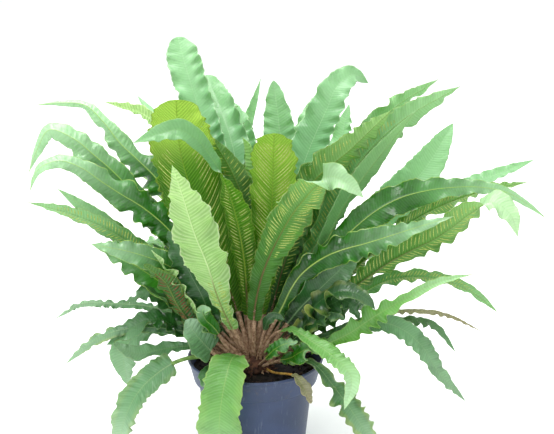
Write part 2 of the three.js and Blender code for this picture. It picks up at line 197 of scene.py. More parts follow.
def smooth_through(at, knots, values):
    """Values at the points `at` on a smooth curve through the knots."""
    at = np.clip(at, knots[0], knots[-1])
    slopes = np.gradient(values, knots, axis=0)
    k = np.clip(np.searchsorted(knots, at) - 1, 0, len(knots) - 2)
    gap = knots[k + 1] - knots[k]
    u = (at - knots[k]) / gap
    if values.ndim > 1:
        u, gap = u[:, None], gap[:, None]
    return ((1 + 2 * u) * (1 - u) ** 2 * values[k] + u * (1 - u) ** 2 * gap * slopes[k]
            + u * u * (3 - 2 * u) * values[k + 1] + u * u * (u - 1) * gap * slopes[k + 1])


def heading(degrees, rise):
    """A direction from its compass heading, 0 for +X and 90 for the back, and its rise."""
    a, e = math.radians(degrees), math.radians(rise)
    return np.array([math.cos(a) * math.cos(e), math.sin(a) * math.cos(e), math.sin(e)])


NOT_FRONDS = {"pot", "soil", "crown"}
frond_nodes = {n: o for n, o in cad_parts.items() if n not in NOT_FRONDS}
frond_slots = {n: o.data.materials[0].name.split(".")[0] for n, o in frond_nodes.items()}
print(len(frond_nodes), "fronds;", len(solid_rings(frond_nodes["tall_left"])), "rings in the first")

# %% [markdown]
# ## How each frond differs
# No two fronds match. Young ones are pale and hardly rippled, old ones low down are dark, narrow and crisped,
# and those that carry spores show cream bars on the underside. A small table says this in a few words per
# frond: everything it leaves out comes from the kind of frond.

# %% Kinds and characters of fronds
# ripple: how steep the margin's waves are, and ripple_length: their length, mm. fold: slope of the halves
# beside the rib, below 0 where they hang. curl: how much the slope grows to the margin. corrugate: height of
# the ridges between the side veins, mm. narrow: from this share of the length on, the blade is this much of
# its width. pinch: a waist or a swelling, as the share of the length where it is, its spread and the width
# there. slim_foot: the blade reaches its full width at this share, from this part of it. ragged: how uneven
# the outline is. sides: how much of the ripple the right and the left side take. calm: from this share of the
# length on, the ripple dies down. slant: lean of the veins. bars: gap between spore bars, mm, or 0 for none;
# bars_span: where they are, as shares of the length; bars_from: where they start, as a share of the half
# width. brown: how far up the rib is brown. bright_rib: how wide and light the rib is. yellow_margin: how
# much of the margin has turned. tone: lighter above 0, with less painted shade at the foot. tip: how strong
# the painted pale sheen towards the tip is, and tip_from: from where.
KIND_HABIT = {
    "mint": dict(ripple=0.35, ripple_length=21, corrugate=0.15),
    "upper": dict(ripple=0.75, ripple_length=27, curl=-0.1, fold=0.0, corrugate=0.25),
    "lime": dict(ripple=0.35, ripple_length=26, corrugate=0.2),
    "olive": dict(ripple=0.4, ripple_length=24),
    "pale": dict(ripple=0.4, ripple_length=22, ragged=2.4),
    "dark": dict(ripple=0.65, ripple_length=17),
    "fresh": dict(ripple=0.4, ripple_length=16, corrugate=0.4),
    "sage": dict(ripple=0.5, ripple_length=18, corrugate=0.35),
    "dry": dict(ripple=0.8, ripple_length=13, curl=0.3),
}
SLOT_KIND = {"leaf_mint": "mint", "leaf_green": "upper", "leaf_lime": "lime",
             "leaf_dark": "dark", "leaf_dry": "dry"}
HABIT = {
    "tall_left": dict(ripple=0.65, ripple_length=22),
    "tall_left_behind": dict(ripple=0.65, ripple_length=27),
    "tall_middle": dict(ripple=0.45, ripple_length=28),
    "back_middle": dict(ripple=0.18),
    "back_right_of_middle": dict(ripple=0.45, ripple_length=26),
    "tall_right": dict(ripple=0.5, ripple_length=24),
    "right_pointed": dict(ripple=0.12, ripple_length=34),
    "right_pale": dict(ripple=0.12, ripple_length=30),
    "right_far": dict(ripple=0.2, bars=4.5, bars_span=(0.1, 0.62), bars_from=0.2),
    "top_left_small": dict(kind="pale", ripple=0.2),
    "right_high_sori": dict(kind="olive", bars=6.5, bars_span=(0.1, 0.8), brown=0.3, bars_from=0.3, tip=0.9,
                            ripple=0.6, narrow=(0.45, 1.25), tone=0.35),
    "right_high_long": dict(kind="upper", bars=5.5, bars_span=(0.1, 0.75), ripple=0.5, fold=0.2, curl=0,
                            tip=1.1, narrow=(0.4, 1.2), tone=0.35),
    "right_high_behind": dict(kind="upper", bars=6, bars_span=(0.1, 0.7), ripple=0.6, fold=0.2, curl=0,
                              tip=1.1),
    "right_sori_behind": dict(kind="olive", bars=5, bars_span=(0.1, 0.8)),
    "right_sori": dict(kind="olive", bars=6, bars_span=(0.04, 0.78), brown=0.9, bars_from=0.1, tip=1.0,
                       tone=0.35),
    "right_front_arch": dict(ripple=0.8, ripple_length=38, bright_rib=1, fold=0.1, tone=-0.1,
                             narrow=(0.75, 0.6)),
    "right_arch": dict(ripple=0.75, ripple_length=40, tone=-0.1, narrow=(0.62, 0.5), tip=1.0),
    "right_curly": dict(kind="fresh", ripple=0.9, ripple_length=24, curl=0.9, fold=0.35, tone=0.35,
                        narrow=(0.5, 0.4), calm=0.5, tip=0.9),
    "right_low_dark": dict(kind="upper", bars=4.5, bars_span=(0.4, 0.85), ripple=0.3, fold=0.2, curl=0,
                           tone=-0.2, narrow=(0.55, 0.65)),
    "right_hanging": dict(kind="sage", ripple=0.45, ripple_length=19, tone=-0.1, ragged=1.8, tip=0.5,
                           corrugate=0.8),
    "right_dark": dict(ripple=0.5, ripple_length=24, bright_rib=1, tone=-0.2),
    "right_dry": dict(narrow=(0.2, 0.6)),
    "front_right_arch": dict(kind="fresh", ripple_length=14, tone=0.5, tip=1.2),
    "front_right_twisted": dict(kind="sage", ripple=1.0, ripple_length=24, curl=0.3, yellow_margin=0.3,
                                tone=-0.1),
    "front_hanging": dict(kind="fresh", ripple=0.3, ripple_length=19, yellow_margin=0.12, tone=0.4,
                          bright_rib=0, corrugate=0.6, tip=0.8, ragged=1.6, slim_foot=(0.2, 0.45)),
    "front_yellow": dict(kind="dry", ripple=0.6),
    "left_hanging": dict(kind="sage", ripple=0.4, ripple_length=13, yellow_margin=0.15, corrugate=0.8,
                         ragged=1.8, tone=0.5, tip=1.2),
    "left_bent": dict(kind="sage", ripple=0.6, ripple_length=18, tone=0.1),
    "left_bent_down": dict(kind="sage", ripple=0.3, tone=0.4, tip=0.6, corrugate=0.6, narrow=(0.84, 0.5)),
    "left_low_arch": dict(kind="sage", ripple=1.0, ripple_length=16, yellow_margin=0.4, tone=-0.2, fold=-0.2,
                          narrow=(0.3, 0.7)),
    "left_crinkled": dict(kind="sage", ripple=1.2, ripple_length=14, curl=0.2, tone=-0.2, fold=-0.3,
                          narrow=(0.3, 0.55)),
    "left_round": dict(kind="sage", ripple=0.35, ripple_length=24, curl=0.25, tone=0.5, tip=0.6,
                       corrugate=1.2),
    "left_brown_sori": dict(kind="olive", bars=5, bars_span=(0.1, 0.85), brown=0.6, tone=-0.4, tip=0.1,
                            ripple=0.6),
    "left_sori_low": dict(kind="upper", bars=4.5, bars_span=(0.2, 0.9), bars_from=0.15, ripple=0.3,
                          fold=0.2, curl=0, tone=-0.4, tip=0.9),
    "left_wavy": dict(ripple=1.15, ripple_length=42, fold=-0.15, curl=-0.3, narrow=(0.66, 0.6), tip=1.1,
                      tone=-0.2, sides=(0.9, 1.2), corrugate=0.5, calm=0.7),
    "left_middle_arch": dict(ripple=1.0, ripple_length=40, fold=-0.3, curl=-0.45, tip=1.3, tone=-0.1,
                             sides=(0.7, 1.25), corrugate=0.6, calm=0.64),
    "left_high_arch": dict(ripple=1.1, ripple_length=42, fold=-0.4, curl=-0.4, narrow=(0.72, 0.55), tip=1.5,
                           sides=(0.5, 1.3), corrugate=0.6, calm=0.66),
    "left_pale_behind": dict(kind="pale", ripple=0.3),
    "middle_wide": dict(ripple=0.42, ripple_length=30, bars=8, bars_span=(0.15, 0.72), bars_from=0.25,
                        slant=0.75, tip=1.3, tip_from=0.76, narrow=(0.3, 1.14), ragged=2.0, tone=-0.5),
    "middle_folded": dict(ripple=0.25, bars=5, bars_span=(0.05, 0.55), pinch=(0.66, 0.15, 0.36)),
    "middle_left_sori": dict(kind="olive", ripple=0.8, ripple_length=30, bars=7, bars_span=(0.05, 0.9),
                             tone=-0.3, tip=0.3),
    "middle_slim": dict(kind="olive", ripple=0.9, ripple_length=28, bars=6, bars_span=(0.05, 0.9), tone=-0.4,
                        tip=0.3, narrow=(0.0, 0.85)),
    "middle_front_pale": dict(kind="pale", ripple=0.7, ripple_length=38, corrugate=0.9, brown=0.45, bars=4.5,
                              bars_span=(0.0, 0.3), slim_foot=(0.4, 0.68), pinch=(0.76, 0.16, 1.28),
                              sides=(0.5, 1.05), ragged=1.3),
    "middle_upright": dict(ripple=0.4, ripple_length=34, bars=5.2, bars_span=(0.03, 0.97), brown=0.3,
                           bars_from=0.06, slant=0.8, slim_foot=(0.6, 0.6), ragged=2.2),
    "middle_front": dict(kind="olive", ripple=0.65, ripple_length=24, bars=4.6, bars_span=(0.34, 0.8),
                         brown=0.65, bars_from=0.16, ragged=1.3, tone=0.5),
    "middle_right_dark": dict(bars=5.5, bars_span=(0.1, 0.7), brown=0.5, tone=-0.2),
}
COMMON_HABIT = dict(
    fold=0.2, curl=0, corrugate=0.35, narrow=None, pinch=None, slim_foot=None, ragged=1, sides=(1, 1),
    calm=0.93, slant=0.35, bars=0, bars_span=(0.1, 0.8), bars_from=0.14, brown=0.2, bright_rib=0.4,
    yellow_margin=0, tone=0, tip=0.7, tip_from=0)


def habit_of(name, own=None):
    """Everything that is said of a frond: its own words, then its kind's, then what all share."""
    own = own or HABIT.get(name, {})
    kind = own.get("kind") or SLOT_KIND[frond_slots[name]]
    return {**COMMON_HABIT, **KIND_HABIT[kind], "kind": kind, **own}


print("fronds with spores:", sum(1 for n in frond_nodes if habit_of(n)["bars"]))

# %% [markdown]
# ## The finish of a blade
# A living blade shines a little, lets light through, and is lined with fine side veins that lean towards the
# tip. Three effects are shared by all kinds of leaf, so each is a node group: the side veins, soft blotches,
# and a band along an edge or the rib. The two UV maps say where a point is on the blade: "strip" in metres
# along and across it, and "share" as parts of its length and half width.

# %% Short ways to make and join nodes
def new_group(name, inputs, outputs):
    """A shader group, its input sockets and its output sockets, each made from (name, type, default)."""
    tree = bpy.data.node_groups.new(name, "ShaderNodeTree")
    for label, kind, default in inputs:
        socket = tree.interface.new_socket(label, in_out="INPUT", socket_type=kind)
        if default is not None:
            socket.default_value = default
    for label, kind in outputs:
        tree.interface.new_socket(label, in_out="OUTPUT", socket_type=kind)
    return tree, tree.nodes.new("NodeGroupInput").outputs, tree.nodes.new("NodeGroupOutput").inputs


class Wiring:
    """Short ways to add nodes to one tree. An input is a number, a colour, or another node's socket."""

    def __init__(self, tree):
        self.tree = tree

    def join(self, value, socket):
        """Links a socket, or sets a number or colour."""
        if isinstance(value, bpy.types.NodeSocket):
            self.tree.links.new(value, socket)
        else:
            socket.default_value = value

    def add(self, kind, settings=None, **inputs):
        """A shader node, with its settings and with inputs by name (Noise_Scale for "Noise Scale")."""
        node = self.tree.nodes.new("ShaderNode" + kind)
        for key, value in (settings or {}).items():
            setattr(node, key, value)
        for label, value in inputs.items():
            self.join(value, node.inputs[label.replace("_", " ")])
        return node

    def group(self, tree, **inputs):
        """A node group's outputs, with its inputs by name."""
        node = self.tree.nodes.new("ShaderNodeGroup")
        node.node_tree = tree
        for label, value in inputs.items():
            self.join(value, node.inputs[label])
        return node.outputs

    def math(self, operation, *values):
        """The result of one Math node."""
        node = self.add("Math", dict(operation=operation))
        for value, socket in zip(values, node.inputs):
            self.join(value, socket)
        return node.outputs[0]

    def product(self, first, second):
        return self.math("MULTIPLY", first, second)

    def ramp(self, value, low, high, bottom=0.0, top=1.0):
        """A smooth step of value from bottom at low to top at high."""
        node = self.add("MapRange", dict(interpolation_type="SMOOTHSTEP"), Value=value, From_Min=low,
                        From_Max=high, To_Min=bottom, To_Max=top)
        return node.outputs["Result"]

    def blend(self, factor, first, second):
        """The first colour where factor is 0, the second where it is 1."""
        node = self.add("Mix", dict(data_type="RGBA"))
        for value, socket in zip((factor, first, second), (node.inputs[0], node.inputs[6], node.inputs[7])):
            self.join(value, socket)
        return node.outputs[2]


def new_finish(name):
    """A material, its wiring and its Principled shader's inputs."""
    finish = bpy.data.materials.new(name)
    finish.use_nodes = True
    return finish, Wiring(finish.node_tree), finish.node_tree.nodes["Principled BSDF"].inputs


print("materials so far:", [m.name for m in bpy.data.materials])


# %% Veins, blotches and bands
def side_veins_group():
    """Fine lines that leave the rib at a slant. Strip is metres along and across."""
    tree, given, out = new_group("side_veins", [
        ("Strip", "NodeSocketVector", None), ("Spacing", "NodeSocketFloat", 0.0016),
        ("Slant", "NodeSocketFloat", 0.35), ("Curve", "NodeSocketFloat", 8.0),
        ("Wander", "NodeSocketFloat", 0.5), ("Width", "NodeSocketFloat", 0.3)],
        [("Lines", "NodeSocketFloat"), ("Height", "NodeSocketFloat")])
    w = Wiring(tree)
    parts = w.add("SeparateXYZ", Vector=given["Strip"]).outputs
    across = w.math("ABSOLUTE", parts["Y"])
    lean = w.math("MULTIPLY_ADD", across, given["Curve"], given["Slant"])
    lean = w.product(across, lean)
    noise = w.add("TexNoise", Vector=given["Strip"], Scale=70.0, Detail=3.0).outputs["Fac"]
    shift = w.product(w.math("SUBTRACT", noise, 0.5), given["Wander"])
    turns = w.math("DIVIDE", w.math("SUBTRACT", parts["X"], lean), given["Spacing"])
    wave = w.math("PINGPONG", w.math("ADD", turns, shift), 0.5)
    w.join(w.ramp(wave, 0.0, given["Width"], 1.0, 0.0), out["Lines"])
    w.join(w.ramp(wave, 0.0, 0.5, 1.0, 0.0), out["Height"])
    return tree


def blotches_group():
    """Soft patches, as a mask, from the place of a point in space."""
    tree, given, out = new_group("blotches", [
        ("Place", "NodeSocketVector", None), ("Scale", "NodeSocketFloat", 40.0),
        ("Low", "NodeSocketFloat", 0.35), ("High", "NodeSocketFloat", 0.65)],
        [("Mask", "NodeSocketFloat")])
    w = Wiring(tree)
    noise = w.add("TexNoise", Vector=given["Place"], Scale=given["Scale"],
                  Detail=3.0, Roughness=0.55).outputs["Fac"]
    w.join(w.ramp(noise, given["Low"], given["High"]), out["Mask"])
    return tree


def edge_band_group():
    """A mask that is 1 near a value of a distance, and falls off within Width."""
    tree, given, out = new_group("edge_band", [
        ("Distance", "NodeSocketFloat", 0.0), ("Width", "NodeSocketFloat", 0.001)],
        [("Mask", "NodeSocketFloat")])
    w = Wiring(tree)
    off = w.math("ABSOLUTE", given["Distance"])
    half = w.product(given["Width"], 0.5)
    w.join(w.ramp(off, half, given["Width"], 1.0, 0.0), out["Mask"])
    return tree


SIDE_VEINS, BLOTCHES, EDGE_BAND = side_veins_group(), blotches_group(), edge_band_group()
print("node groups:", [g.name for g in bpy.data.node_groups])

# %% Leaf colours
# deep: the darkest green, where the tone is low, and the painted shade at the blade's foot and in the hollows
# between the veins. bright: the blade's usual green, where the tone is high. tip: the painted pale sheen
# towards the tip, a painted highlight of the white room, and the veins' lighter colour. glow: what shines
# through it, and
# through: how much of the light that is. veins: how far apart they are. show: how plain they are, and how deep
# the painted shade between them is.
LEAF_PAINT = {
    # mint: partly painted glare; the tall fronds at the back are given paler, bluer greens for the glare of
    # the white room
    "mint": dict(deep=(58, 120, 70), bright=(114, 172, 118), tip=(168, 210, 166), rib=(182, 214, 170),
                 glow=(168, 214, 146), veins=0.0040, show=0.14, through=0.38),
    "upper": dict(deep=(2, 46, 0), bright=(34, 114, 8), tip=(180, 220, 176), rib=(168, 196, 90),
                  glow=(138, 210, 48), veins=0.0040, show=0.09, through=0.3),
    "lime": dict(deep=(34, 94, 42), bright=(88, 152, 94), tip=(160, 208, 156), rib=(140, 182, 104),
                 glow=(168, 216, 112), veins=0.0040, show=0.14, through=0.4),
    "olive": dict(deep=(50, 108, 60), bright=(134, 190, 134), tip=(210, 240, 200), rib=(170, 208, 134),
                  glow=(200, 236, 158), veins=0.0036, show=0.2, through=0.42),
    "pale": dict(deep=(86, 140, 76), bright=(140, 186, 118), tip=(190, 224, 160), rib=(186, 208, 150),
                 glow=(196, 230, 150), veins=0.0052, show=0.7, through=0.45),
    "dark": dict(deep=(4, 34, 7), bright=(44, 100, 44), tip=(126, 172, 124), rib=(112, 150, 96),
                 glow=(132, 190, 92), veins=0.0036, show=0.16, through=0.28),
    "fresh": dict(deep=(40, 108, 26), bright=(118, 176, 92), tip=(194, 228, 188), rib=(164, 190, 116),
                  glow=(180, 226, 116), veins=0.0040, show=0.22, through=0.38),
    "sage": dict(deep=(22, 70, 34), bright=(110, 158, 112), tip=(184, 216, 184), rib=(150, 180, 128),
                 glow=(160, 208, 140), veins=0.0036, show=0.16, through=0.34),
    "dry": dict(deep=(94, 96, 70), bright=(146, 148, 120), tip=(170, 160, 136), rib=(180, 160, 120),
                glow=(190, 200, 140), veins=0.0036, show=0.4, through=0.4),
}
UNDER_PAINT = {
    "mint": dict(deep=(62, 118, 64), bright=(120, 172, 110), tip=(168, 208, 152), rib=(140, 152, 100),
                 glow=(176, 220, 136), veins=0.0040, show=0.18, through=0.4),
    "upper": dict(deep=(48, 104, 44), bright=(108, 164, 96), tip=(178, 220, 168), rib=(146, 158, 98),
                  glow=(168, 214, 112), veins=0.0040, show=0.3, through=0.38),
    "lime": dict(deep=(16, 70, 4), bright=(76, 140, 18), tip=(190, 224, 92), rib=(140, 156, 58),
                 glow=(150, 206, 40), veins=0.0046, show=0.52, through=0.4),
    "olive": dict(deep=(16, 60, 12), bright=(70, 122, 48), tip=(170, 210, 138), rib=(130, 136, 64),
                  glow=(140, 192, 62), veins=0.0040, show=0.3, through=0.34),
    "pale": dict(deep=(112, 166, 80), bright=(196, 228, 162), tip=(220, 240, 186), rib=(224, 238, 192),
                 glow=(210, 238, 164), veins=0.0052, show=0.75, through=0.45),
    "dark": dict(deep=(18, 60, 18), bright=(58, 108, 46), tip=(116, 160, 96), rib=(116, 118, 74),
                 glow=(144, 194, 80), veins=0.0036, show=0.25, through=0.32),
    "fresh": dict(deep=(60, 116, 40), bright=(120, 174, 84), tip=(176, 216, 150), rib=(150, 164, 100),
                  glow=(182, 226, 120), veins=0.0040, show=0.3, through=0.4),
    "sage": dict(deep=(50, 98, 50), bright=(112, 156, 100), tip=(166, 204, 154), rib=(140, 146, 104),
                 glow=(172, 212, 142), veins=0.0036, show=0.2, through=0.36),
    "dry": dict(deep=(110, 98, 70), bright=(156, 148, 116), tip=(170, 156, 130), rib=(150, 116, 90),
                glow=(200, 200, 130), veins=0.0036, show=0.4, through=0.4),
}
RIB_BROWN = paint(112, 72, 58)
MARGIN_YELLOW = paint(206, 208, 104)
print("kinds of leaf:", ", ".join(LEAF_PAINT))


# %% Leaf finish
def blade_readings(w):
    """What a finish reads from a blade's mesh: its two UV maps and its per-point numbers."""
    read = {name: w.add("Attribute", dict(attribute_name=name)).outputs["Fac"]
            for name in ("tone", "brown", "yellow_margin", "rib_width", "slant", "pale_tip")}
    read["strip"] = w.add("UVMap", dict(uv_map="strip")).outputs["UV"]
    read["across"] = w.add("SeparateXYZ", Vector=read["strip"]).outputs["Y"]
    share = w.add("SeparateXYZ", Vector=w.add("UVMap", dict(uv_map="share")).outputs["UV"]).outputs
    read["up_blade"], read["out_from_rib"] = share["X"], share["Y"]
    return read


def blade_greens(w, colours, read, veins, patches, specks):
    """The greens of a blade: painted shade at its foot and between the veins, a painted pale sheen towards its
    tip, and lighter veins.
    """
    deep, bright, tip = [paint(*colours[key]) for key in ("deep", "bright", "tip")]
    colour = w.blend(w.math("MULTIPLY_ADD", patches, 0.45, w.product(read["tone"], 0.85)), deep, bright)
    # painted shade: the blade's foot, down in the heart of the plant, is darkened towards deep, less on light
    # fronds
    painted_foot_shade = w.ramp(read["up_blade"], 0.0, 0.45, 1.0, 0.0)
    colour = w.blend(w.product(painted_foot_shade, w.math("SUBTRACT", 1.2, read["tone"])), colour, deep)
    # painted highlight: the outer blade is washed pale and bluish, a painted sheen of the white room on the
    # glossy leaf
    colour = w.blend(w.product(w.ramp(read["up_blade"], 0.45, 1.0), read["pale_tip"]), colour, tip)
    # painted shade: the hollows between the side veins are darkened towards deep; the veins take the lighter
    # tip colour
    painted_vein_shade = w.math("SUBTRACT", 1.0, veins["Height"])
    colour = w.blend(w.product(painted_vein_shade, 0.6 * colours["show"]), colour, deep)
    colour = w.blend(w.product(veins["Lines"], 0.55 * colours["show"]), colour, tip)
    return w.blend(w.product(specks, 0.12), colour, bright)


def rim_and_rib(w, colours, read, patches, side, colour):
    """Adds the light margin, its yellow patches, and the rib, which is brown near the foot underneath."""
    from_margin = w.math("SUBTRACT", read["out_from_rib"], 1.0)
    rim = w.group(EDGE_BAND, Distance=from_margin, Width=0.06)["Mask"]
    colour = w.blend(w.product(rim, 0.7), colour, paint(*colours["rib"]))
    wide_rim = w.group(EDGE_BAND, Distance=from_margin, Width=0.5)["Mask"]
    turned = w.product(w.product(wide_rim, patches), read["yellow_margin"])
    colour = w.blend(turned, colour, MARGIN_YELLOW)
    rib_colour = paint(*colours["rib"])
    if side == "under":
        browned = w.ramp(read["up_blade"], w.product(read["brown"], 0.55), read["brown"], 1.0, 0.0)
        rib_colour = w.blend(browned, rib_colour, RIB_BROWN)
    rib = w.group(EDGE_BAND, Distance=read["across"], Width=read["rib_width"])["Mask"]
    return w.blend(w.product(rib, 0.9), colour, rib_colour)


def leaf_finish(name, colours, side):
    """Blade material for one side, glossier on the upper one, with a share of the light let through."""
    finish, w, shader = new_finish(name)
    read = blade_readings(w)
    place = w.add("TexCoord").outputs["Object"]
    veins = w.group(SIDE_VEINS, Strip=read["strip"], Spacing=colours["veins"], Slant=read["slant"])
    patches = w.group(BLOTCHES, Place=place, Scale=26.0)["Mask"]
    specks = w.group(BLOTCHES, Place=place, Scale=240.0, Low=0.45, High=0.7)["Mask"]
    colour = blade_greens(w, colours, read, veins, patches, specks)
    w.join(rim_and_rib(w, colours, read, patches, side, colour), shader["Base Color"])
    upper = side == "upper"
    w.join(w.math("MULTIPLY_ADD", patches, 0.16, 0.22 if upper else 0.4), shader["Roughness"])
    shader["Specular IOR Level"].default_value = 0.5 if upper else 0.25
    shader["Coat Weight"].default_value = 0.1 if upper else 0.0
    shader["Coat Roughness"].default_value = 0.34
    grain = w.math("MULTIPLY_ADD", specks, 0.25, veins["Height"])
    bump = w.add("Bump", Height=grain, Strength=0.7, Distance=0.0012 * colours["show"]).outputs["Normal"]
    w.join(bump, shader["Normal"])

    through = w.add("BsdfTranslucent", Color=paint(*colours["glow"]), Normal=bump)
    both = w.add("MixShader", Fac=colours["through"])
    w.join(finish.node_tree.nodes["Principled BSDF"].outputs[0], both.inputs[1])
    w.join(through.outputs[0], both.inputs[2])
    w.join(both.outputs[0], finish.node_tree.nodes["Material Output"].inputs["Surface"])
    return finish


upper_finish = {kind: leaf_finish(f"{kind}_upper_side", c, "upper") for kind, c in LEAF_PAINT.items()}
under_finish = {kind: leaf_finish(f"{kind}_underside", c, "under") for kind, c in UNDER_PAINT.items()}
print(len(upper_finish) + len(under_finish), "leaf materials")


# %% Stalk and spore finishes
def plain_finish(name, dark, light, scale, roughness, bump):
    """A matt natural surface: two colours in patches, with a fine bump."""
    finish, w, shader = new_finish(name)
    place = w.add("TexCoord").outputs["Object"]
    patches = w.group(BLOTCHES, Place=place, Scale=scale)["Mask"]
    grain = w.group(BLOTCHES, Place=place, Scale=scale * 5, Low=0.3, High=0.7)["Mask"]
    colour = w.blend(patches, paint(*dark), paint(*light))
    w.join(w.blend(w.product(grain, 0.35), colour, paint(*dark)), shader["Base Color"])
    w.join(w.math("MULTIPLY_ADD", grain, 0.15, roughness), shader["Roughness"])
    w.join(w.add("Bump", Height=grain, Strength=0.6, Distance=bump).outputs["Normal"], shader["Normal"])
    shader["Specular IOR Level"].default_value = 0.3
    return finish


scale_finish = plain_finish("papery_scales", (150, 116, 90), (222, 192, 166), 300.0, 0.6, 0.0002)
dead_finish = plain_finish("old_stalk_bases", (44, 27, 20), (104, 70, 52), 160.0, 0.8, 0.0006)
soil_finish = plain_finish("dark_compost", (11, 9, 8), (38, 30, 24), 150.0, 0.85, 0.0012)
chip_finish = plain_finish("bark_chips", (30, 22, 17), (74, 54, 42), 200.0, 0.8, 0.0008)
stalk_finish = plain_finish("scaly_stalk", (128, 100, 74), (198, 168, 138), 220.0, 0.55, 0.0005)
dry_stalk_finish = plain_finish("yellow_stalk", (150, 104, 40), (206, 172, 90), 160.0, 0.5, 0.0003)
green_stalk_finish = plain_finish("green_stalk", (84, 122, 54), (132, 166, 88), 160.0, 0.45, 0.0002)
cream_finish = plain_finish("cream_spore_bars", (154, 172, 74), (200, 210, 120), 500.0, 0.7, 0.0002)
brown_finish = plain_finish("ripe_spore_bars", (104, 60, 34), (156, 98, 56), 500.0, 0.8, 0.0002)
print("natural finishes:", stalk_finish.name, scale_finish.name, soil_finish.name, cream_finish.name)

# %% [markdown]
# ## Growing the blades
# A blade could be a flat plane pushed about by a displacement texture, but a ripple that only moves points up
# and down stretches the leaf. Here each cross-section is laid out from the rib by its slope at every step, so
# the blade keeps its width however steeply a ripple turns it, and its outline scallops as a real one does.
# The stalk's round section turns into the blade's within a few millimetres, so a frond is one closed skin.

# %% Sizes of the leaf skin
ROW_GAP = 1.6 * MM
STALK_ROW_GAP = 3.0 * MM
COLUMN_GAP = 2.6 * MM
LEAF_THICKNESS = 0.5 * MM
STALK_RADIUS = 3.0 * MM
SUNK_IN_CROWN = 5 * MM
VEIN_CURVE = 8.0  # per metre: side veins bend towards the tip as they near the margin
RIDGE_LENGTH = 7.2 * MM
LOBE_LENGTH = 10 * MM  # over this the blade's foot rounds out to its full width
LOBE_REACH = 5 * MM  # the corners of the foot reach this far back past it
THINNEST = 0.35 * MM  # half the width of the very tip
ROLL = 0.14  # radians that a blade rolls to either side along its length
RIB_STEPS = np.array([0, 0.42, 0.78, 1.0, 1.3])
RIB_SWELL = {1: 0.25, -1: 1.25}  # the rib stands out a little above and a lot below


def vein_lean(across, slant):
    """How far towards the tip a side vein has come at a distance from the rib."""
    return across * (slant + VEIN_CURVE * across)


def ease(value, low, high):
    """A smooth step from 0 at low to 1 at high."""
    u = np.clip((value - low) / (high - low), 0, 1)
    return u * u * (3 - 2 * u)


def drift(random, at, length):
    """A smooth random curve between about -1 and 1 that changes over `length`."""
    total = np.zeros_like(at)
    for share in (1.0, 0.61, 0.37):
        total += np.sin(2 * np.pi * (at / (length * (0.7 + share)) + random.random()))
    return total / 2.2


def outline(blade, knots, halves):
    """The half width along the blade: the solid's, with a rounded foot and a drawn-out or blunt tip."""
    half = smooth_through(blade, knots, halves)
    before, last = knots[-2], knots[-1]
    q = np.clip((blade - before) / (last - before), 0, 1)
    blunt = 1 + 0.8 * ease(halves[-2] / (last - before), 0.35, 0.7)
    tip = halves[-2] * np.maximum(1 - q ** blunt, 0) ** (1 / blunt)
    half = np.where(blade > before, tip, half)
    foot = np.sqrt(1 - (1 - np.clip(blade / LOBE_LENGTH, 0, 1)) ** 2)
    return np.maximum(half * foot, THINNEST)


def habit_width(half, share, habit):
    """The half width after a habit's narrowing, waist and slim foot, at shares of the blade's length."""
    if habit["narrow"]:
        begin, part = habit["narrow"]
        half = np.maximum(half * (1 - (1 - part) * ease(share, begin - 0.2, begin + 0.15)), THINNEST)
    if habit["pinch"]:
        waist, spread, left = habit["pinch"]
        half = np.maximum(half * (1 - (1 - left) * np.exp(-((share - waist) / spread) ** 2)), THINNEST)
    if habit["slim_foot"]:
        full, part = habit["slim_foot"]
        half = np.maximum(half * (part + (1 - part) * ease(share, 0, full)), THINNEST)
    return half


print("a blade has a row every", ROW_GAP / MM, "mm and a column about every", COLUMN_GAP / MM, "mm")


# %% Ripples and puckers
def ripples(random, blade, across, half, habit, length):
    """How steeply the margins ripple at each row and column, on one side of the rib."""
    along = blade[:, None] - vein_lean(across, habit["slant"])
    wavelength = habit["ripple_length"] * MM
    phase = 2 * np.pi * (along / wavelength + random.random()) + 3.2 * drift(random, along, 4.3 * wavelength)
    strength = 0.6 + 0.7 * random.random()
    strength = strength * np.clip(0.8 + 0.75 * drift(random, along, 2.9 * wavelength), 0.05, 1.5)
    calm = habit["calm"] * length
    ends = ease(blade, 0, 0.07 * length) * (1 - 0.75 * ease(blade, calm, 0.6 * calm + 0.4 * length))
    share = np.clip(across / half[:, None], 0, 1)
    wave = np.sin(phase + 0.15 * np.sin(phase))
    return habit["ripple"] * ends[:, None] * strength * wave * 1.5 * share ** 1.3


def evened(values, rows):
    """A running mean over some rows."""
    padded = np.pad(values, rows, mode="edge")
    return np.convolve(padded, np.ones(2 * rows + 1) / (2 * rows + 1), mode="valid")


def puckers(random, blade, across):
    """Shallow swells and hollows all over a blade, about 1 high."""
    total = np.zeros(across.shape)
    for length in (19, 12, 8):
        a, b, c = random.random(3)
        way = across / (length * MM * (1 + 0.6 * a))
        bend = 0.4 * np.sin(2 * np.pi * (way + b))
        swells = np.sin(2 * np.pi * (blade[:, None] / (length * MM) + bend + c))
        total += swells * np.sin(2 * np.pi * (way + a))
    return total / 1.7


print("ripples of", sorted({habit_of(name)["ripple_length"] for name in frond_nodes}), "mm")


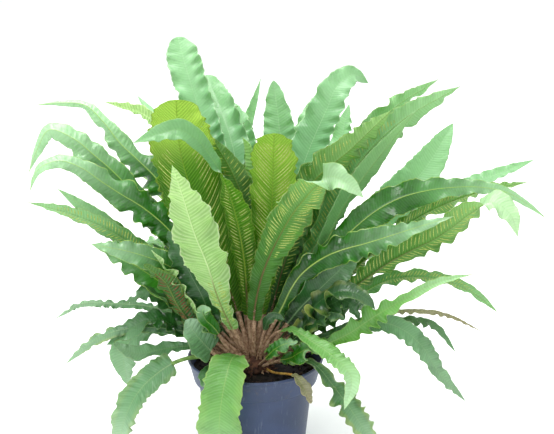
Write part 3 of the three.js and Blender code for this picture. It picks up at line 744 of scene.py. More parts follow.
# %% Cross-sections
def side_section(random, blade, columns, half, habit, length, part):
    """One half of every cross-section: distance from the rib and height, per row and column."""
    middle = (columns[:, 1:] + columns[:, :-1]) / 2
    share = np.clip(middle / half[:, None], 0, 1)
    fold = habit["fold"] + (0.12 * drift(random, blade, 0.13) * ease(blade, 0, 0.04))[:, None]
    plain = fold + habit["curl"] * share ** 2 * (0.8 + 0.3 * drift(random, blade, 0.1))[:, None]
    slope = plain + part * ripples(random, blade, middle, half, habit, length)
    step = np.diff(columns, axis=1)
    edge = habit["ragged"] * (0.04 * drift(random, blade, 17 * MM) + 0.03 * drift(random, blade, 7 * MM))
    margin_step = step * (1 + 4 * edge[:, None] * ease(share, 0.55, 1))
    out = np.cumsum(margin_step * np.cos(slope), axis=1)
    up = np.cumsum(margin_step * np.sin(slope), axis=1)
    # a rippled section reaches less far, so it is let out until its mean reach is that of a plain one
    plain_reach = np.sum(step * np.cos(plain), axis=1)
    reach = evened(out[:, -1] / plain_reach, int(0.8 * habit["ripple_length"] * MM / ROW_GAP))
    let_out = 1 / np.clip(reach, 0.6, 1)[:, None]
    zero = np.zeros((len(blade), 1))
    out, up = np.hstack([zero, out * let_out]), np.hstack([zero, up * let_out])
    ridge_way = blade[:, None] - vein_lean(columns, habit["slant"])
    ridges = np.sin(2 * np.pi * ridge_way / RIDGE_LENGTH + 2 * drift(random, ridge_way, 34 * MM))
    whole = np.clip(columns / half[:, None], 0, 1)
    wide_enough = ease(half, 3 * MM, 9 * MM)[:, None]
    up += habit["corrugate"] * MM * ridges * np.sin(np.pi * whole) ** 2 * wide_enough
    up += 0.55 * MM * puckers(random, blade, columns) * whole * wide_enough
    tilt = np.hstack([slope[:, :1], (slope[:, 1:] + slope[:, :-1]) / 2, slope[:, -1:]])
    return out, up, tilt


def frond_rows(knots, foot):
    """Distances along the frond where its skin has a ring of points."""
    stalk = np.arange(-SUNK_IN_CROWN, foot - 0.5 * STALK_ROW_GAP, STALK_ROW_GAP)
    count = int((knots[-1] - foot) / ROW_GAP)
    start = np.linspace(foot - 1 * MM, foot + 6 * MM, 8)
    rest = np.linspace(foot + 6 * MM, knots[-1], max(count - 3, 20))[1:]
    return np.concatenate([stalk, start, rest])


print("a blade 200 mm long has", len(frond_rows(np.array([0, 0.3]), 0.1)), "rows with its stalk")


# %% Line and half loops of a frond
def frond_line(random, centres, tops, knots, rows, foot):
    """The rib's places, and the directions along it, out of the upper side and to the right, row by row."""
    place = smooth_through(rows, knots, centres)
    along = np.gradient(place, rows, axis=0)
    sunk = rows < 0
    first = (centres[1] - centres[0]) / np.linalg.norm(centres[1] - centres[0])
    place[sunk] = centres[0] + rows[sunk, None] * first
    along[sunk] = first
    along = unit(along)
    blade = rows - foot
    top = smooth_through(blade, knots[STALK_RINGS:] - foot, tops)
    top = unit(top - along * np.sum(top * along, axis=1)[:, None])
    right = np.cross(along, top)
    roll = (ROLL * drift(random, blade, 0.16) * ease(blade, 0, 0.05))[:, None]
    top, right = top * np.cos(roll) + right * np.sin(roll), right * np.cos(roll) - top * np.sin(roll)
    return place, along, top, right


def skin_columns(half, rib, widest):
    """Distances of the columns from the rib's middle: close together on the rib, even beyond it."""
    inner = RIB_STEPS[None, :] * rib[:, None]
    edge = inner[:, -1:]
    count = int(np.clip(round(widest / COLUMN_GAP), 4, 10))
    spread = np.linspace(0, 1, count + 1)[None, 1:]
    return np.hstack([inner, edge + (np.maximum(half[:, None], edge * 1.02) - edge) * spread])


def half_loop(skin, section, side, face):
    """Points of the upper (1) or under (-1) face right (1) or left (-1) of the rib, round on the stalk."""
    out, up, tilt = section
    reach = LEAF_THICKNESS / 2 + skin["swell"] * RIB_SWELL[face]
    turn = (np.pi / 2) * (1 - np.arange(out.shape[1]) / (out.shape[1] - 0.5))
    round_x = skin["stalk_radius"][:, None] * np.cos(turn)
    round_z = face * skin["stalk_radius"][:, None] * np.sin(turn)
    x = round_x + (out - face * reach * np.sin(tilt) - round_x) * skin["onto_blade"]
    z = round_z + (up + face * reach * np.cos(tilt) - round_z) * skin["onto_blade"]
    return (skin["place"][:, None] + side * x[..., None] * skin["right"][:, None]
            + z[..., None] * skin["top"][:, None] - skin["back"][..., None] * skin["along"][:, None])


half_sample = skin_columns(np.array([30 * MM]), np.array([1 * MM]), 30 * MM)
print("half a blade 60 mm wide has", half_sample.shape[1], "columns of points")


# %% The skin of a frond
def frond_skin(name, random, stations=None, own=None):
    """Points of the frond's skin as (rows, loop, 3), with the numbers that its faces and finishes need."""
    habit = habit_of(name, own)
    centres, halves, tops = stations or read_frond(frond_nodes[name])
    knots = np.concatenate([[0], np.cumsum(np.linalg.norm(np.diff(centres, axis=0), axis=1))])
    foot = knots[STALK_RINGS]
    length = knots[-1] - foot
    rows = frond_rows(knots, foot)
    blade = rows - foot
    place, along, top, right = frond_line(random, centres, tops, knots, rows, foot)

    widest = halves.max()
    half = habit_width(outline(blade, knots[STALK_RINGS:] - foot, halves), blade / length, habit)
    radius = np.clip(0.11 * widest + 0.6 * MM, 1.3 * MM, STALK_RADIUS)
    rib = radius * (0.13 + 0.55 * (1 - np.clip(blade / length, 0, 1)) ** 1.2)
    rib_core = np.minimum(rib, 0.35 * half)
    columns = skin_columns(half, rib_core, widest)
    bulge = np.sqrt(np.clip(1 - (columns / (1.05 * rib_core[:, None])) ** 2, 0, 1))
    onto_blade = ease(blade, -1 * MM, 5 * MM)[:, None]
    corners = LOBE_REACH * ease(widest, 8 * MM, 20 * MM) * np.clip(columns / half[:, None], 0, 1) ** 2
    skin = dict(
        name=name, habit=habit, rows=rows, blade=blade, foot=foot, length=length, half=half, rib=rib,
        columns=columns, place=place, along=along, top=top, right=right, onto_blade=onto_blade,
        stalk_radius=radius * (1.08 - 0.1 * ease(rows, 0, foot)), swell=bulge * rib[:, None],
        back=corners * np.exp(-np.clip(blade, 0, 1) / (13 * MM))[:, None] * onto_blade)

    loops = {}
    for side, part in zip((1, -1), habit["sides"]):
        section = side_section(random, blade, columns, half, habit, length, part)
        for face in (1, -1):
            loops[side, face] = half_loop(skin, section, side, face)
    upper = np.concatenate([loops[-1, 1][:, :0:-1], loops[1, 1]], axis=1)
    skin["under"] = np.concatenate([loops[1, -1][:, ::-1], loops[-1, -1][:, 1:]], axis=1)
    skin["points"] = np.concatenate([upper, skin["under"]], axis=1)
    skin["across"] = np.concatenate(
        [-columns[:, :0:-1], columns, columns[:, ::-1], -columns[:, 1:]], axis=1)
    return skin


sample = frond_skin("tall_left", np.random.default_rng(1))
print("one frond's skin:", sample["points"].shape, "length", round(sample["length"] / MM), "mm")

# %% [markdown]
# ## Spore bars
# Hart's-tongue spores sit in long bars on the underside, in line with the side veins. A striped texture would
# do from afar, but the bars stand up from the leaf and catch the light, so each is a small closed ridge that
# is laid on the skin. A point of the underside is found from its distances along and across the blade.


# %% Spore bars on a skin
BAR_STATIONS = 7
BAR_SIDES = 6
BAR_HALF_WIDTH = 0.62 * MM
BAR_HEIGHT = 0.6 * MM


def underside_at(skin, along, across):
    """Points of the underside at distances along and across (positive is the right)."""
    row = np.interp(along, skin["blade"], np.arange(len(skin["blade"])))
    low = np.clip(row.astype(int), 0, len(skin["blade"]) - 2)
    part = row - low
    found = []
    n = skin["columns"].shape[1] - 1
    for r in (low, low + 1):
        column = np.array([np.interp(abs(x), skin["columns"][i], np.arange(n + 1))
                           for i, x in zip(r, across)])
        spot = n - np.sign(across) * column
        k = np.clip(spot.astype(int), 0, 2 * n - 1)
        f = (spot - k)[:, None]
        found.append(skin["under"][r, k] * (1 - f) + skin["under"][r, k + 1] * f)
    return found[0] * (1 - part[:, None]) + found[1] * part[:, None]


def spore_bar(skin, start, inner, outer, side):
    """The points of one bar as (stations, sides, 3), tapered at both ends."""
    x = np.linspace(inner, outer, BAR_STATIONS)
    along = start + vein_lean(x, skin["habit"]["slant"])
    middle = underside_at(skin, along, side * x)
    ahead = underside_at(skin, along + 0.5 * MM, side * x)
    run = np.gradient(middle, axis=0)
    run /= np.linalg.norm(run, axis=1)[:, None] + 1e-12
    up = np.cross(run, ahead - middle)
    up /= np.linalg.norm(up, axis=1)[:, None] + 1e-12
    wide = np.cross(up, run)
    q = np.linspace(-1, 1, BAR_STATIONS)
    taper = np.sqrt(np.clip(1 - np.abs(q) ** 3, 0.02, 1))[:, None, None]
    turn = 2 * np.pi * np.arange(BAR_SIDES) / BAR_SIDES
    ring = (np.cos(turn)[None, :, None] * wide[:, None] * BAR_HALF_WIDTH
            + np.sin(turn)[None, :, None] * up[:, None] * BAR_HEIGHT)
    return middle[:, None] + ring * taper


def spore_bars(skin, random):
    """All bars of a frond, as a list of point grids."""
    habit, bars = skin["habit"], []
    if not habit["bars"]:
        return bars
    low, high = [part * skin["length"] for part in habit["bars_span"]]
    gap = habit["bars"] * MM
    for side in (1, -1):
        start = low + random.random() * gap
        while start < high:
            here = max(start, 1 * MM)
            half = np.interp(here, skin["blade"], skin["half"])
            lean = vein_lean(0.7 * half, habit["slant"])
            half = min(half, np.interp(here + lean, skin["blade"], skin["half"]))
            inner = max(1.5 * np.interp(here, skin["blade"], skin["rib"]), habit["bars_from"] * half)
            inner += random.random() * 0.1 * half
            outer = half * (0.7 + 0.18 * random.random())
            tenth = 0.1 * skin["length"]
            fade = ease(start, low, low + tenth) * (1 - ease(start, high - tenth, high))
            outer = inner + (outer - inner) * (0.35 + 0.65 * fade)
            if outer - inner > 2 * MM and random.random() < 0.94:
                bars.append(spore_bar(skin, here, inner, outer, side))
            start += gap * (0.82 + 0.36 * random.random())
    return bars


wide_sample = frond_skin("middle_wide", np.random.default_rng(2))
print("bars on middle_wide:", len(spore_bars(wide_sample, np.random.default_rng(3))))

# %% [markdown]
# ## Papery scales
# A hart's-tongue stalk is shaggy with narrow, papery brown scales. Blender's hair could do it, but hair would
# have to be turned into a mesh in the end, so each scale is a thin closed flake from the start: three
# corners wide at its root, lifted off the stalk, and pointed at its end.


# %% Scales on a stalk
SCALES_PER_METRE = 900
SCALE_LENGTH = 2.2 * MM
SCALE_WIDTH = 0.55 * MM
SCALES_END = 26 * MM  # the last scales sit on the rib, this far up the blade


def stalk_scales(skin, random):
    """The flakes of one stalk, as a list of (3, 3, 3) point grids."""
    rows = skin["rows"]
    reach = skin["foot"] + SCALES_END
    flakes = []
    for _ in range(int(reach * SCALES_PER_METRE)):
        at = 1 * MM + random.random() * (reach - 1 * MM)
        turn = 2 * np.pi * random.random()
        if at > skin["foot"]:
            turn = -np.pi * (0.3 + 0.4 * random.random())
        centre, along, top, right = [
            np.array([np.interp(at, rows, values[:, k]) for k in range(3)])
            for values in (skin["place"], skin["along"], skin["top"], skin["right"])]
        out = right * np.cos(turn) + top * np.sin(turn)
        wide = np.cross(along, out)
        radius = 0.95 * np.interp(at, rows, skin["stalk_radius"])
        lift = 0.15 + 0.35 * random.random()
        point = along * np.cos(lift) + out * np.sin(lift) + wide * 0.5 * (random.random() - 0.5)
        length = SCALE_LENGTH * (0.6 + 0.7 * random.random())
        root = centre + out * radius
        grid = []
        for reached, width in ((0, 1), (0.5, 0.8), (1, 0.12)):
            middle = root + point * length * reached
            half = wide * SCALE_WIDTH * width
            grid.append([middle - half, middle + out * 0.25 * MM * width, middle + half])
        flakes.append(np.array(grid))
    return flakes


print("scales on one stalk:", len(stalk_scales(sample, np.random.default_rng(4))))

# %% [markdown]
# ## From skin to mesh
# Points become faces ring by ring. Each face takes one of five finishes: upper side, underside, stalk, spore
# bar or scale. A third UV map, "OFBake", lays every face out once with no overlap, for baking the finishes.


# %% Mesh of a frond
UPPER, UNDER, STALK, SPORES, SCALES = range(5)
STALK_END = 2.5 * MM  # the stalk's finish runs this far onto the blade
SMALL_STRIP = 0.16  # the share of the baking map that the bars and scales take


def grid_faces(rings, size, first=0):
    """Quads that join rings of points round a closed loop, and both end caps."""
    a = np.arange(rings - 1)[:, None] * size + np.arange(size)[None] + first
    b = np.arange(rings - 1)[:, None] * size + (np.arange(size)[None] + 1) % size + first
    quads = np.stack([a, b, b + size, a + size], axis=-1).reshape(-1, 4)
    last = first + (rings - 1) * size
    return quads, [list(range(first, first + size))[::-1], list(range(last, last + size))]


def fill_uv(mesh, name, values):
    """Adds a UV map from one pair of numbers per face corner."""
    layer = mesh.uv_layers.new(name=name)
    layer.data.foreach_set("uv", np.asarray(values, np.float32).ravel())


def fill_number(mesh, name, values):
    """Adds one number per point."""
    made = mesh.attributes.new(name, "FLOAT", "POINT")
    made.data.foreach_set("value", np.asarray(values, np.float32))


def blade_maps(skin, row, column, room):
    """The UV maps "strip", "share" and "OFBake" of the quads. row, column: each quad's first corner."""
    rings, size = skin["points"].shape[:2]
    corner_row = np.stack([row, row, row + 1, row + 1], axis=1)
    corner_column = np.stack([column, column + 1, column + 1, column], axis=1)
    strip = np.stack([skin["blade"][corner_row], skin["across"][corner_row, corner_column % size]], axis=-1)
    share = np.stack([np.clip(skin["blade"][corner_row] / skin["length"], 0, 1),
                      np.clip(np.abs(strip[..., 1]) / skin["half"][corner_row], 0, 1)], axis=-1)
    bake = np.stack([corner_row / (rings - 1) * 0.99 + 0.005,
                     (corner_column / size * 0.98 + 0.01) * room], axis=-1)
    return [uv.reshape(-1, 2) for uv in (strip, share, bake)]


def small_shape_bake(stations, around, k, cells):
    """The baking map of small shape number k, in its own cell of the strip kept for them, caps last."""
    r = np.repeat(np.arange(stations - 1), around)
    c = np.tile(np.arange(around), stations - 1)
    cell = np.stack([np.stack([r, r, r + 1, r + 1], 1) / stations,
                     np.stack([c, c + 1, c + 1, c], 1) / around], axis=-1) * 0.8 + 0.1
    corner = np.array([k % cells, k // cells]) / cells
    cell = (cell / cells + corner + [0, 1 - SMALL_STRIP]).reshape(-1, 2)
    return np.concatenate([cell, np.full((2 * around, 2), cell[0])])


def frond_mesh(skin, small):
    """The frond's mesh with its UV maps. small: (points, finish) of closed shapes that sit on the skin."""
    rings, size = skin["points"].shape[:2]
    quads, caps = grid_faces(rings, size)
    row, column = np.repeat(np.arange(rings - 1), size), np.tile(np.arange(size), rings - 1)
    finish = np.where(column < size // 2, UPPER, UNDER)
    finish[skin["blade"][row + 1] < STALK_END] = STALK
    strip, share, bake = blade_maps(skin, row, column, 1 - SMALL_STRIP if small else 1)
    on_caps = np.zeros((2 * size, 2))
    points, faces = [skin["points"].reshape(-1, 3)], quads.tolist() + caps
    finishes = list(finish) + [STALK, UPPER]
    strips, shares, bakes = [strip, on_caps], [share, on_caps], [bake, on_caps + 0.001]
    first = rings * size
    cells = max(1, math.ceil(math.sqrt((len(small) + 1) / SMALL_STRIP)))
    for k, (shape, shape_finish) in enumerate(small):
        stations, around = shape.shape[:2]
        shape_quads, shape_caps = grid_faces(stations, around, first)
        points.append(shape.reshape(-1, 3))
        faces += shape_quads.tolist() + shape_caps
        finishes += [shape_finish] * (len(shape_quads) + 2)
        bakes.append(small_shape_bake(stations, around, k, cells))
        strips.append(np.zeros(bakes[-1].shape))
        shares.append(np.zeros(bakes[-1].shape))
        first += stations * around

    mesh = bpy.data.meshes.new(skin["name"] + "_leaf")
    mesh.from_pydata(np.concatenate(points), [], faces)
    mesh.polygons.foreach_set("material_index", np.array(finishes, np.int32))
    mesh.polygons.foreach_set("use_smooth", np.ones(len(faces), bool))
    for label, corners in (("strip", strips), ("share", shares), ("OFBake", bakes)):
        fill_uv(mesh, label, np.concatenate(corners))
    return mesh


sample_mesh = frond_mesh(sample, [])
print("faces of one frond without bars and scales:", len(sample_mesh.polygons))
bpy.data.meshes.remove(sample_mesh)


# %% Numbers for the finishes
def add_numbers(mesh, skin, random):
    """Per-point numbers that the finishes read. Bars and scales take a plain number, rows their own."""
    habit, count = skin["habit"], len(mesh.vertices)
    rings, size = skin["points"].shape[:2]
    tone = 0.5 + 0.25 * drift(random, skin["blade"], 0.2) + 0.35 * (random.random() - 0.5) + habit["tone"]
    line = skin["rib"] * (0.4 + 0.35 * habit["bright_rib"])
    begin = habit["tip_from"]
    # how strong the painted pale sheen towards the tip is, row by row
    pale_tip = habit["tip"] * ease(skin["blade"] / skin["length"], begin - 0.12, begin + 0.12)
    by_row = {"tone": (np.clip(tone, 0, 1), 0.5), "rib_width": (line, 1 * MM),
              "pale_tip": (pale_tip, habit["tip"])}
    for label, (values, rest) in by_row.items():
        numbers = np.full(count, float(rest))
        numbers[:rings * size] = np.repeat(values, size)
        fill_number(mesh, label, numbers)
    for label in ("brown", "yellow_margin", "slant"):
        fill_number(mesh, label, np.full(count, habit[label]))


def add_piece(name, mesh, slot, *nodes):
    """Shows a mesh as a piece on the root body, in place of its CAD nodes."""
    piece = bpy.data.objects.new(name, mesh)
    bpy.context.scene.collection.objects.link(piece)
    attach(piece, "root")
    if nodes:
        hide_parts(*nodes)


print("numbers row by row: tone, rib_width, pale_tip; one for the whole frond: brown, yellow_margin, slant")

# %% Grow every frond
SMOOTH_STALKS = {"front_yellow": dry_stalk_finish, "left_hanging": green_stalk_finish}


def grow(name, seed, slot, nodes=(), stations=None, own=None):
    """Makes one whole frond as a piece, and returns how many spore bars it has."""
    random = np.random.default_rng(seed)
    skin = frond_skin(name, random, stations, own)
    bars = spore_bars(skin, random)
    flakes = [] if name in SMOOTH_STALKS else stalk_scales(skin, random)
    small = [(bar, SPORES) for bar in bars] + [(flake, SCALES) for flake in flakes]
    mesh = frond_mesh(skin, small)
    add_numbers(mesh, skin, random)
    kind = skin["habit"]["kind"]
    spores = brown_finish if name == "left_brown_sori" else cream_finish
    stalk = SMOOTH_STALKS.get(name, stalk_finish)
    for finish in (upper_finish[kind], under_finish[kind], stalk, spores, scale_finish):
        mesh.materials.append(finish)
    add_piece(name + "_frond", mesh, slot, *nodes)
    return len(bars)


bar_count = sum(grow(name, 100 + index, frond_slots[name], (name,))
                for index, name in enumerate(sorted(frond_nodes)))
print(len(frond_nodes), "fronds with", bar_count, "spore bars")

# %% [markdown]
# ## Leaves in the heart of the plant
# Between the big fronds stand short young and old ones that the CAD model leaves out. They fill the heart of
# the plant, where only a dark curl shows here and there. A ring of them round the back is grown by a loop
# with seeded chance, and the few that show plainly are listed one by one, each along a handful of points.


# %% Small leaves
LEAF_STATIONS = 12
INNER_LEAVES = 18
FULL_WIDTH = 0.45  # a small leaf is widest from here, as a share of its blade
SHORT_STALK = 0.25  # the usual share of its length that is stalk


def laid_leaf(points, width, face, stalk):
    """Stations of a leaf laid along points in millimetres. face: where its upper side looks."""
    points = np.array(points, float) * MM
    knots = np.concatenate([[0], np.cumsum(np.linalg.norm(np.diff(points, axis=0), axis=1))])
    shares = np.concatenate([np.linspace(0, stalk, STALK_RINGS, endpoint=False),
                             np.linspace(stalk, 1, LEAF_STATIONS)])
    centres = smooth_through(shares * knots[-1], knots, points)
    u = np.linspace(0, 1, LEAF_STATIONS)
    spread = 0.45 + 0.55 * ease(u, 0, FULL_WIDTH)
    halves = np.maximum(0.5 * width * MM * spread * np.sqrt(1 - ease(u, FULL_WIDTH, 1.02) ** 1.5), 1.2 * MM)
    along = unit(np.gradient(centres, axis=0)[STALK_RINGS:])
    look = heading(*face)
    return centres, halves, unit(look - along * (along @ look)[:, None])


random = np.random.default_rng(7)
for k in range(INNER_LEAVES):
    compass = -5 + 190 * k / (INNER_LEAVES - 1) + 8 * random.random()
    lean = 42 + 34 * random.random()
    reach = 120 + 70 * random.random()
    way = heading(compass, lean)
    start = CROWN_MIDDLE / MM + heading(compass, 25) * (24, 24, 16)
    droop = heading(compass, 0) * reach * 0.12
    route = [start, start + way * 0.3 * reach, start + way * 0.65 * reach + 0.4 * droop,
             start + way * reach + droop]
    grow(f"inner_{k + 1}", 300 + k, "leaf_dark",
         stations=laid_leaf(route, 26 + 16 * random.random(), (compass + 180, 25), 0.16),
         own=dict(kind="dark", ripple=0.5, ripple_length=22, tone=-0.1, tip=0.2))

BY_HAND = {
    "dark_curl_right": dict(
        points=[(18, -14, 150), (46, -18, 182), (75, -20, 208),
                (101, -40, 240), (121, -45, 249), (141, -50, 223)],
        width=36, face=(270, 50), own=dict(kind="dark", ripple=1.2, ripple_length=24, curl=0.4, tip=0.3)),
    "wavy_right": dict(
        points=[(22, -16, 150), (61, -25, 196), (90, -40, 247),
                (121, -50, 264), (147, -55, 256), (161, -55, 240)],
        width=34, face=(250, 60),
        own=dict(kind="dark", ripple=1.1, ripple_length=30, yellow_margin=0.3, tip=0.3)),
    "low_tip_right": dict(
        points=[(24, -8, 148), (70, -14, 184), (116, -20, 213),
                (136, -30, 236), (145, -38, 236), (152, -45, 226)],
        width=30, face=(200, 70), own=dict(kind="dark", ripple=0.6, ripple_length=20, tip=0.2)),
    "low_wavy_right": dict(
        points=[(20, -20, 148), (48, -26, 178), (61, -30, 194),
                (81, -40, 217), (101, -45, 228), (121, -48, 222)],
        width=32, face=(250, 55), own=dict(kind="dark", ripple=1.1, ripple_length=22, yellow_margin=0.4)),
    "curl_right_front": dict(
        points=[(12, -28, 146), (30, -36, 156), (48, -44, 164),
                (62, -60, 180), (77, -70, 190), (88, -75, 184)],
        width=25, face=(270, 50), own=dict(kind="upper", ripple=1.5, ripple_length=18, curl=0.3, tone=0.4)),
    "pale_tip_middle": dict(
        points=[(0, 4, 152), (-1, 14, 230), (-2, 22, 310), (-2, 32, 382),
                (-5, 36, 416), (-11, 35, 444), (-17, 30, 455)],
        width=20, face=(270, 10), stalk=0.55,
        own=dict(kind="pale", ripple=0.5, ripple_length=26, tone=-0.1, tip=0.4)),
    "curl_middle": dict(
        points=[(2, -20, 152), (8, -34, 180), (13, -46, 206),
                (20, -54, 226), (31, -58, 232), (40, -58, 226)],
        width=14, face=(250, 20), stalk=0.55,
        own=dict(kind="dark", ripple=0.5, ripple_length=16, curl=0.7, tone=0.1, tip=0.2)),
    "curl_middle_low": dict(
        points=[(6, -30, 148), (16, -46, 166), (28, -58, 184), (42, -64, 194), (58, -66, 198)],
        width=18, face=(270, 45), own=dict(kind="upper", ripple=1.5, ripple_length=13, curl=0.3, tone=0.3)),
    "dark_curl_left": dict(
        points=[(-20, -20, 150), (-41, -35, 180), (-55, -45, 209),
                (-67, -50, 225), (-69, -54, 238), (-58, -58, 240)],
        width=24, face=(290, 40), stalk=0.5,
        own=dict(kind="upper", ripple=0.5, ripple_length=30, curl=0.6, tone=0.2)),
    "pale_left": dict(
        points=[(-24, -20, 150), (-48, -32, 178), (-68, -40, 204), (-87, -45, 238),
                (-106, -45, 271), (-125, -45, 303), (-136, -45, 320)],
        width=30, face=(40, 20), own=dict(kind="pale", ripple=1.0, ripple_length=26, brown=0.8, tone=-0.2)),
    "dark_left": dict(
        points=[(-18, -16, 152), (-55, -30, 200), (-69, -36, 247),
                (-86, -36, 283), (-101, -36, 318), (-114, -36, 344)],
        width=44, face=(250, 25), own=dict(kind="dark", ripple=0.9, ripple_length=32, tone=0.1, tip=0.2)),
    "low_left": dict(
        points=[(-26, -10, 148), (-66, -12, 172), (-106, -15, 193), (-130, -20, 211),
                (-157, -25, 207), (-184, -30, 188), (-203, -30, 178)],
        width=34, face=(250, 65), own=dict(kind="dark", ripple=0.8, ripple_length=24, tone=0.5, tip=0.9)),
    "wavy_left": dict(
        points=[(-26, -4, 150), (-70, -8, 196), (-110, -10, 244), (-143, -10, 272),
                (-169, -10, 289), (-202, -10, 309), (-220, -10, 316)],
        width=38, face=(260, 50), own=dict(kind="upper", ripple=0.9, ripple_length=30, tone=0.1)),
    "back_low_left_small": dict(
        points=[(-28, 0, 148), (-76, 0, 190), (-124, 0, 230),
                (-145, 0, 242), (-162, 0, 236), (-180, 0, 227)],
        width=30, face=(250, 60), own=dict(kind="dark", ripple=0.9, ripple_length=20, tone=0.3)),
}
for k, (name, leaf) in enumerate(BY_HAND.items()):
    grow(name, 400 + k, "leaf_dark" if leaf["own"]["kind"] == "dark" else "leaf_green",
         stations=laid_leaf(leaf["points"], leaf["width"], leaf["face"], leaf.get("stalk", SHORT_STALK)),
         own=leaf["own"])
print(INNER_LEAVES, "inner leaves and", len(BY_HAND), "laid by hand")

# %% [markdown]
# ## The crown
# Fronds rise from a short woody crown that is shaggy with scales and the stubs of fronds long gone. A dome
# with noise would pass from afar, but the stubs are what one sees between the stalks, so the dome is only
# the ground for some seventy tapered stubs.


# %% Turned and lumpy bodies
STUB_STATIONS, STUB_SIDES = 4, 6


def revolve(radii, heights):
    """Points and faces of a body of revolution. Rings by sides, in millimetres, on the axis at both ends."""
    turn = 2 * np.pi * np.arange(radii.shape[1]) / radii.shape[1]
    points = np.stack([radii * np.cos(turn), radii * np.sin(turn), heights], axis=-1) * MM
    quads, caps = grid_faces(*radii.shape)
    return points.reshape(-1, 3), quads.tolist() + caps


def stub(root, way, length, radius, end, bend):
    """A tapered round stub as a point grid."""
    way = way / np.linalg.norm(way)
    aside = np.cross(way, (0.3, 0.2, 1))
    aside /= np.linalg.norm(aside)
    upward = np.cross(aside, way)
    turn = 2 * np.pi * np.arange(STUB_SIDES) / STUB_SIDES
    q = np.linspace(0, 1, STUB_STATIONS)[:, None]
    middle = root + way * length * q + bend * q * q
    thick = radius + (end - radius) * q
    around = np.cos(turn)[:, None] * aside + np.sin(turn)[:, None] * upward
    return middle[:, None] + thick[..., None] * around


def shapes_mesh(name, shapes, finishes, body=None):
    """One mesh from (point grid, finish index) pairs, and from a first body of points and faces."""
    points, faces = [body[0]] if body else [], list(body[1]) if body else []
    indices, first = [0] * len(faces), len(body[0]) if body else 0
    for grid, finish in shapes:
        quads, caps = grid_faces(grid.shape[0], grid.shape[1], first)
        points.append(grid.reshape(-1, 3))
        faces += quads.tolist() + caps
        indices += [finish] * (len(quads) + 2)
        first += grid.shape[0] * grid.shape[1]
    mesh = bpy.data.meshes.new(name)
    mesh.from_pydata(np.concatenate(points), [], faces)
    mesh.polygons.foreach_set("material_index", np.array(indices, np.int32))
    welded = bmesh.new()
    welded.from_mesh(mesh)
    bmesh.ops.remove_doubles(welded, verts=welded.verts, dist=0.001 * MM)
    bmesh.ops.dissolve_degenerate(welded, edges=welded.edges, dist=0.001 * MM)
    bmesh.ops.recalc_face_normals(welded, faces=welded.faces)
    for face in welded.faces:
        face.smooth = True
    welded.to_mesh(mesh)
    welded.free()
    for finish in finishes:
        mesh.materials.append(finish)
    return mesh


print("a stub has", STUB_STATIONS * STUB_SIDES, "points")


# %% Crown
CROWN_RADIUS = (crown_high.x - crown_low.x) / 2
CROWN_RISE = crown_high.z - crown_low.z
CROWN_RINGS, CROWN_SIDES = 15, 40
STUBS = 70


def on_crown(compass, lift):
    """A point of the crown's dome."""
    return CROWN_MIDDLE + heading(compass, lift) * (CROWN_RADIUS, CROWN_RADIUS, CROWN_RISE)


random = np.random.default_rng(11)
lifts = np.concatenate([[0], np.linspace(0, np.pi / 2, CROWN_RINGS - 1)])
crown_lumps = random.random((CROWN_RINGS, CROWN_SIDES))
crown_radii = np.cos(lifts)[:, None] * (CROWN_RADIUS / MM - 2 + 1.6 * crown_lumps)
crown_radii[0] = 0
crown_radii[-1] = 0
crown_heights = np.sin(lifts)[:, None] * (CROWN_RISE / MM - 2) * np.ones((1, CROWN_SIDES))
crown_heights[1:-1] += 1.4 * random.random((CROWN_RINGS - 2, CROWN_SIDES))
points, faces = revolve(crown_radii, crown_heights)
stubs = []
for _ in range(STUBS):
    compass, lift = 360 * random.random(), 6 + 70 * random.random() ** 1.5
    way = heading(compass + 40 * (random.random() - 0.5), lift + 25 * random.random())
    root = on_crown(compass, lift) - way * 3 * MM
    length = (6 + 15 * random.random() ** 2) * MM
    radius = (1.1 + 1.1 * random.random()) * MM
    bend = np.array([0, 0, -0.3 * length * random.random()])
    stubs.append((stub(root, way, length, radius, 0.35 * radius, bend), int(random.random() < 0.35)))
crown_mesh = shapes_mesh("crown_dome", stubs, (dead_finish, stalk_finish), (points + CROWN_MIDDLE, faces))
add_piece("shaggy_crown", crown_mesh, "crown", "crown")
print("crown:", len(stubs), "stubs")

# %% [markdown]
# ## Compost
# The compost is dark, crumbly and mounded up to the crown. A displaced disc alone looks like carpet, so clods
# and bark chips, each a little closed lump, lie on it.

# %% Soil bed
soil_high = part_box("soil")[1]
SOIL_EDGE = 87.2
MOUND = 3  # how much higher the compost is under the plant
BED_DEPTH = 8  # the bed goes this far down, out of sight
SOIL_TOP = soil_high.z / MM - MOUND
SOIL_RINGS, SOIL_SIDES = 26, 110
CLODS = 420
random = np.random.default_rng(12)
soil_reach = np.concatenate([[0, SOIL_EDGE - 1], np.linspace(SOIL_EDGE, 0, SOIL_RINGS)])
soil_radii = soil_reach[:, None] * np.ones((1, SOIL_SIDES))
soil_heights = (SOIL_TOP + MOUND * (1 - ease(soil_radii, 30, 86))
                + 1.1 * (random.random(soil_radii.shape) - 0.5)
                + 0.9 * np.sin(soil_radii / 7 + 4 * np.sin(np.arange(SOIL_SIDES) / 9)))
soil_heights[:2] = SOIL_TOP - BED_DEPTH
soil_heights[-1] = SOIL_TOP + MOUND
clods = []
for _ in range(CLODS):
    away, compass = 24 + 61 * math.sqrt(random.random()), 360 * random.random()
    size = (1.0 + 2.6 * random.random() ** 2) * MM
    root = heading(compass, 0) * away * MM + np.array([0, 0, (SOIL_TOP + 1.5) * MM])
    way = heading(360 * random.random(), 50 * random.random())
    clods.append((stub(root - way * size, way, 2.2 * size, size, 0.7 * size, np.zeros(3)),
                  int(random.random() < 0.3)))
soil_mesh = shapes_mesh("compost", clods, (soil_finish, chip_finish), revolve(soil_radii, soil_heights))
add_piece("compost_bed", soil_mesh, "soil", "soil")
print("compost:", len(clods), "clods")

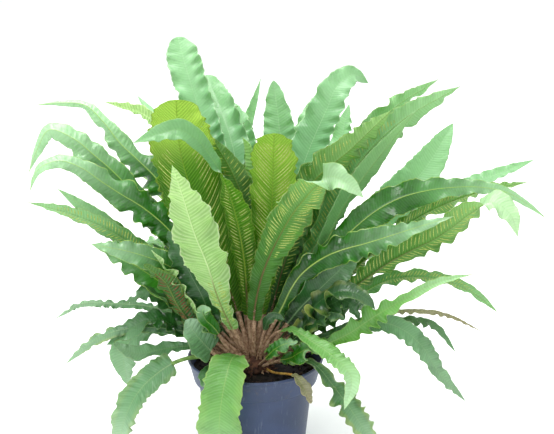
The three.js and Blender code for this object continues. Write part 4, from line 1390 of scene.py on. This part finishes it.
# %% [markdown]
# ## The nursery pot
# A thin tapered pot with a deep band round its mouth, moulded in one piece. It is turned like a lathe job: a
# profile, with each corner eased by a small curve, swept round the axis. A Screw modifier would do the same,
# and the profile in code keeps every height beside its name. The plastic is satin, with fine scuffs and
# splashes of compost near the mouth.


# %% Pot profile
def eased_profile(profile, radius):
    """The profile in millimetres with each corner replaced by a short curve."""
    made = [np.array(profile[0], float)]
    for before, corner, after in zip(profile, profile[1:], profile[2:]):
        before, corner, after = [np.array(p, float) for p in (before, corner, after)]
        back, ahead = before - corner, after - corner
        cut = min(radius, 0.45 * np.linalg.norm(back), 0.45 * np.linalg.norm(ahead))
        first = corner + back / np.linalg.norm(back) * cut
        last = corner + ahead / np.linalg.norm(ahead) * cut
        for t in (0, 0.25, 0.5, 0.75, 1):
            made.append((1 - t) ** 2 * first + 2 * t * (1 - t) * corner + t * t * last)
    made.append(np.array(profile[-1], float))
    return np.array(made)


POT_SIDES = 144
POT_PROFILE = [
    (0, 1.2), (58, 1.2), (60, 0), (66.5, 0), (68, 2),  # underside and foot
    (79.6, 112), (80, 117),  # tapered wall
    (85.6, 117), (86.5, 118), (93.2, 145),  # band
    (95, 146.6), (95, 149), (94, 150), (92.6, 150), (91.7, 147),  # rolled lip
    (84.7, 118.8), (78.2, 115), (66.2, 3), (0, 3),  # inside
]
turned_profile = eased_profile(POT_PROFILE, 0.9)
ones = np.ones((1, POT_SIDES))
pot_body = revolve(turned_profile[:, :1] * ones, turned_profile[:, 1:] * ones)
print("pot profile points:", len(turned_profile))


# %% Pot plastic
def pot_finish():
    """Satin dark blue-grey plastic: soft tone changes, upright scuffs, and compost dust near the mouth."""
    finish, w, shader = new_finish("pot_plastic_satin")
    place = w.add("TexCoord").outputs["Object"]
    height = w.add("SeparateXYZ", Vector=place).outputs["Z"]
    drawn = w.add("Mapping", Vector=place, Scale=(1.0, 1.0, 0.12)).outputs["Vector"]
    clouds = w.group(BLOTCHES, Place=place, Scale=18.0)["Mask"]
    scuffs = w.group(BLOTCHES, Place=drawn, Scale=260.0, Low=0.6, High=0.72)["Mask"]
    dust = w.group(BLOTCHES, Place=place, Scale=120.0, Low=0.56, High=0.7)["Mask"]
    specks = w.group(BLOTCHES, Place=place, Scale=420.0, Low=0.66, High=0.74)["Mask"]
    grain = w.group(BLOTCHES, Place=place, Scale=700.0, Low=0.3, High=0.7)["Mask"]
    colour = w.blend(clouds, paint(38, 53, 82), paint(47, 63, 96))
    colour = w.blend(w.product(scuffs, 0.35), colour, paint(104, 116, 138))
    soiled = w.product(w.product(dust, w.ramp(height, 0.09, 0.15)), 0.3)
    colour = w.blend(soiled, colour, paint(92, 84, 76))
    w.join(w.blend(w.product(specks, 0.55), colour, paint(40, 34, 32)), shader["Base Color"])
    rough = w.math("MULTIPLY_ADD", scuffs, 0.15, w.math("MULTIPLY_ADD", clouds, 0.08, 0.42))
    w.join(rough, shader["Roughness"])
    bump = w.add("Bump", Height=w.math("ADD", grain, scuffs), Strength=0.3, Distance=0.0002)
    w.join(bump.outputs["Normal"], shader["Normal"])
    shader["Specular IOR Level"].default_value = 0.45
    return finish


pot_mesh = shapes_mesh("pot_wall", [], (pot_finish(),), pot_body)
add_piece("nursery_pot", pot_mesh, "pot_plastic", "pot")
print("pot faces:", len(pot_mesh.polygons))

# %% [markdown]
# ## End
# The visual model stays inside the CAD model's box, but for a few millimetres of ripple.

# %% Finish
print("scene built")
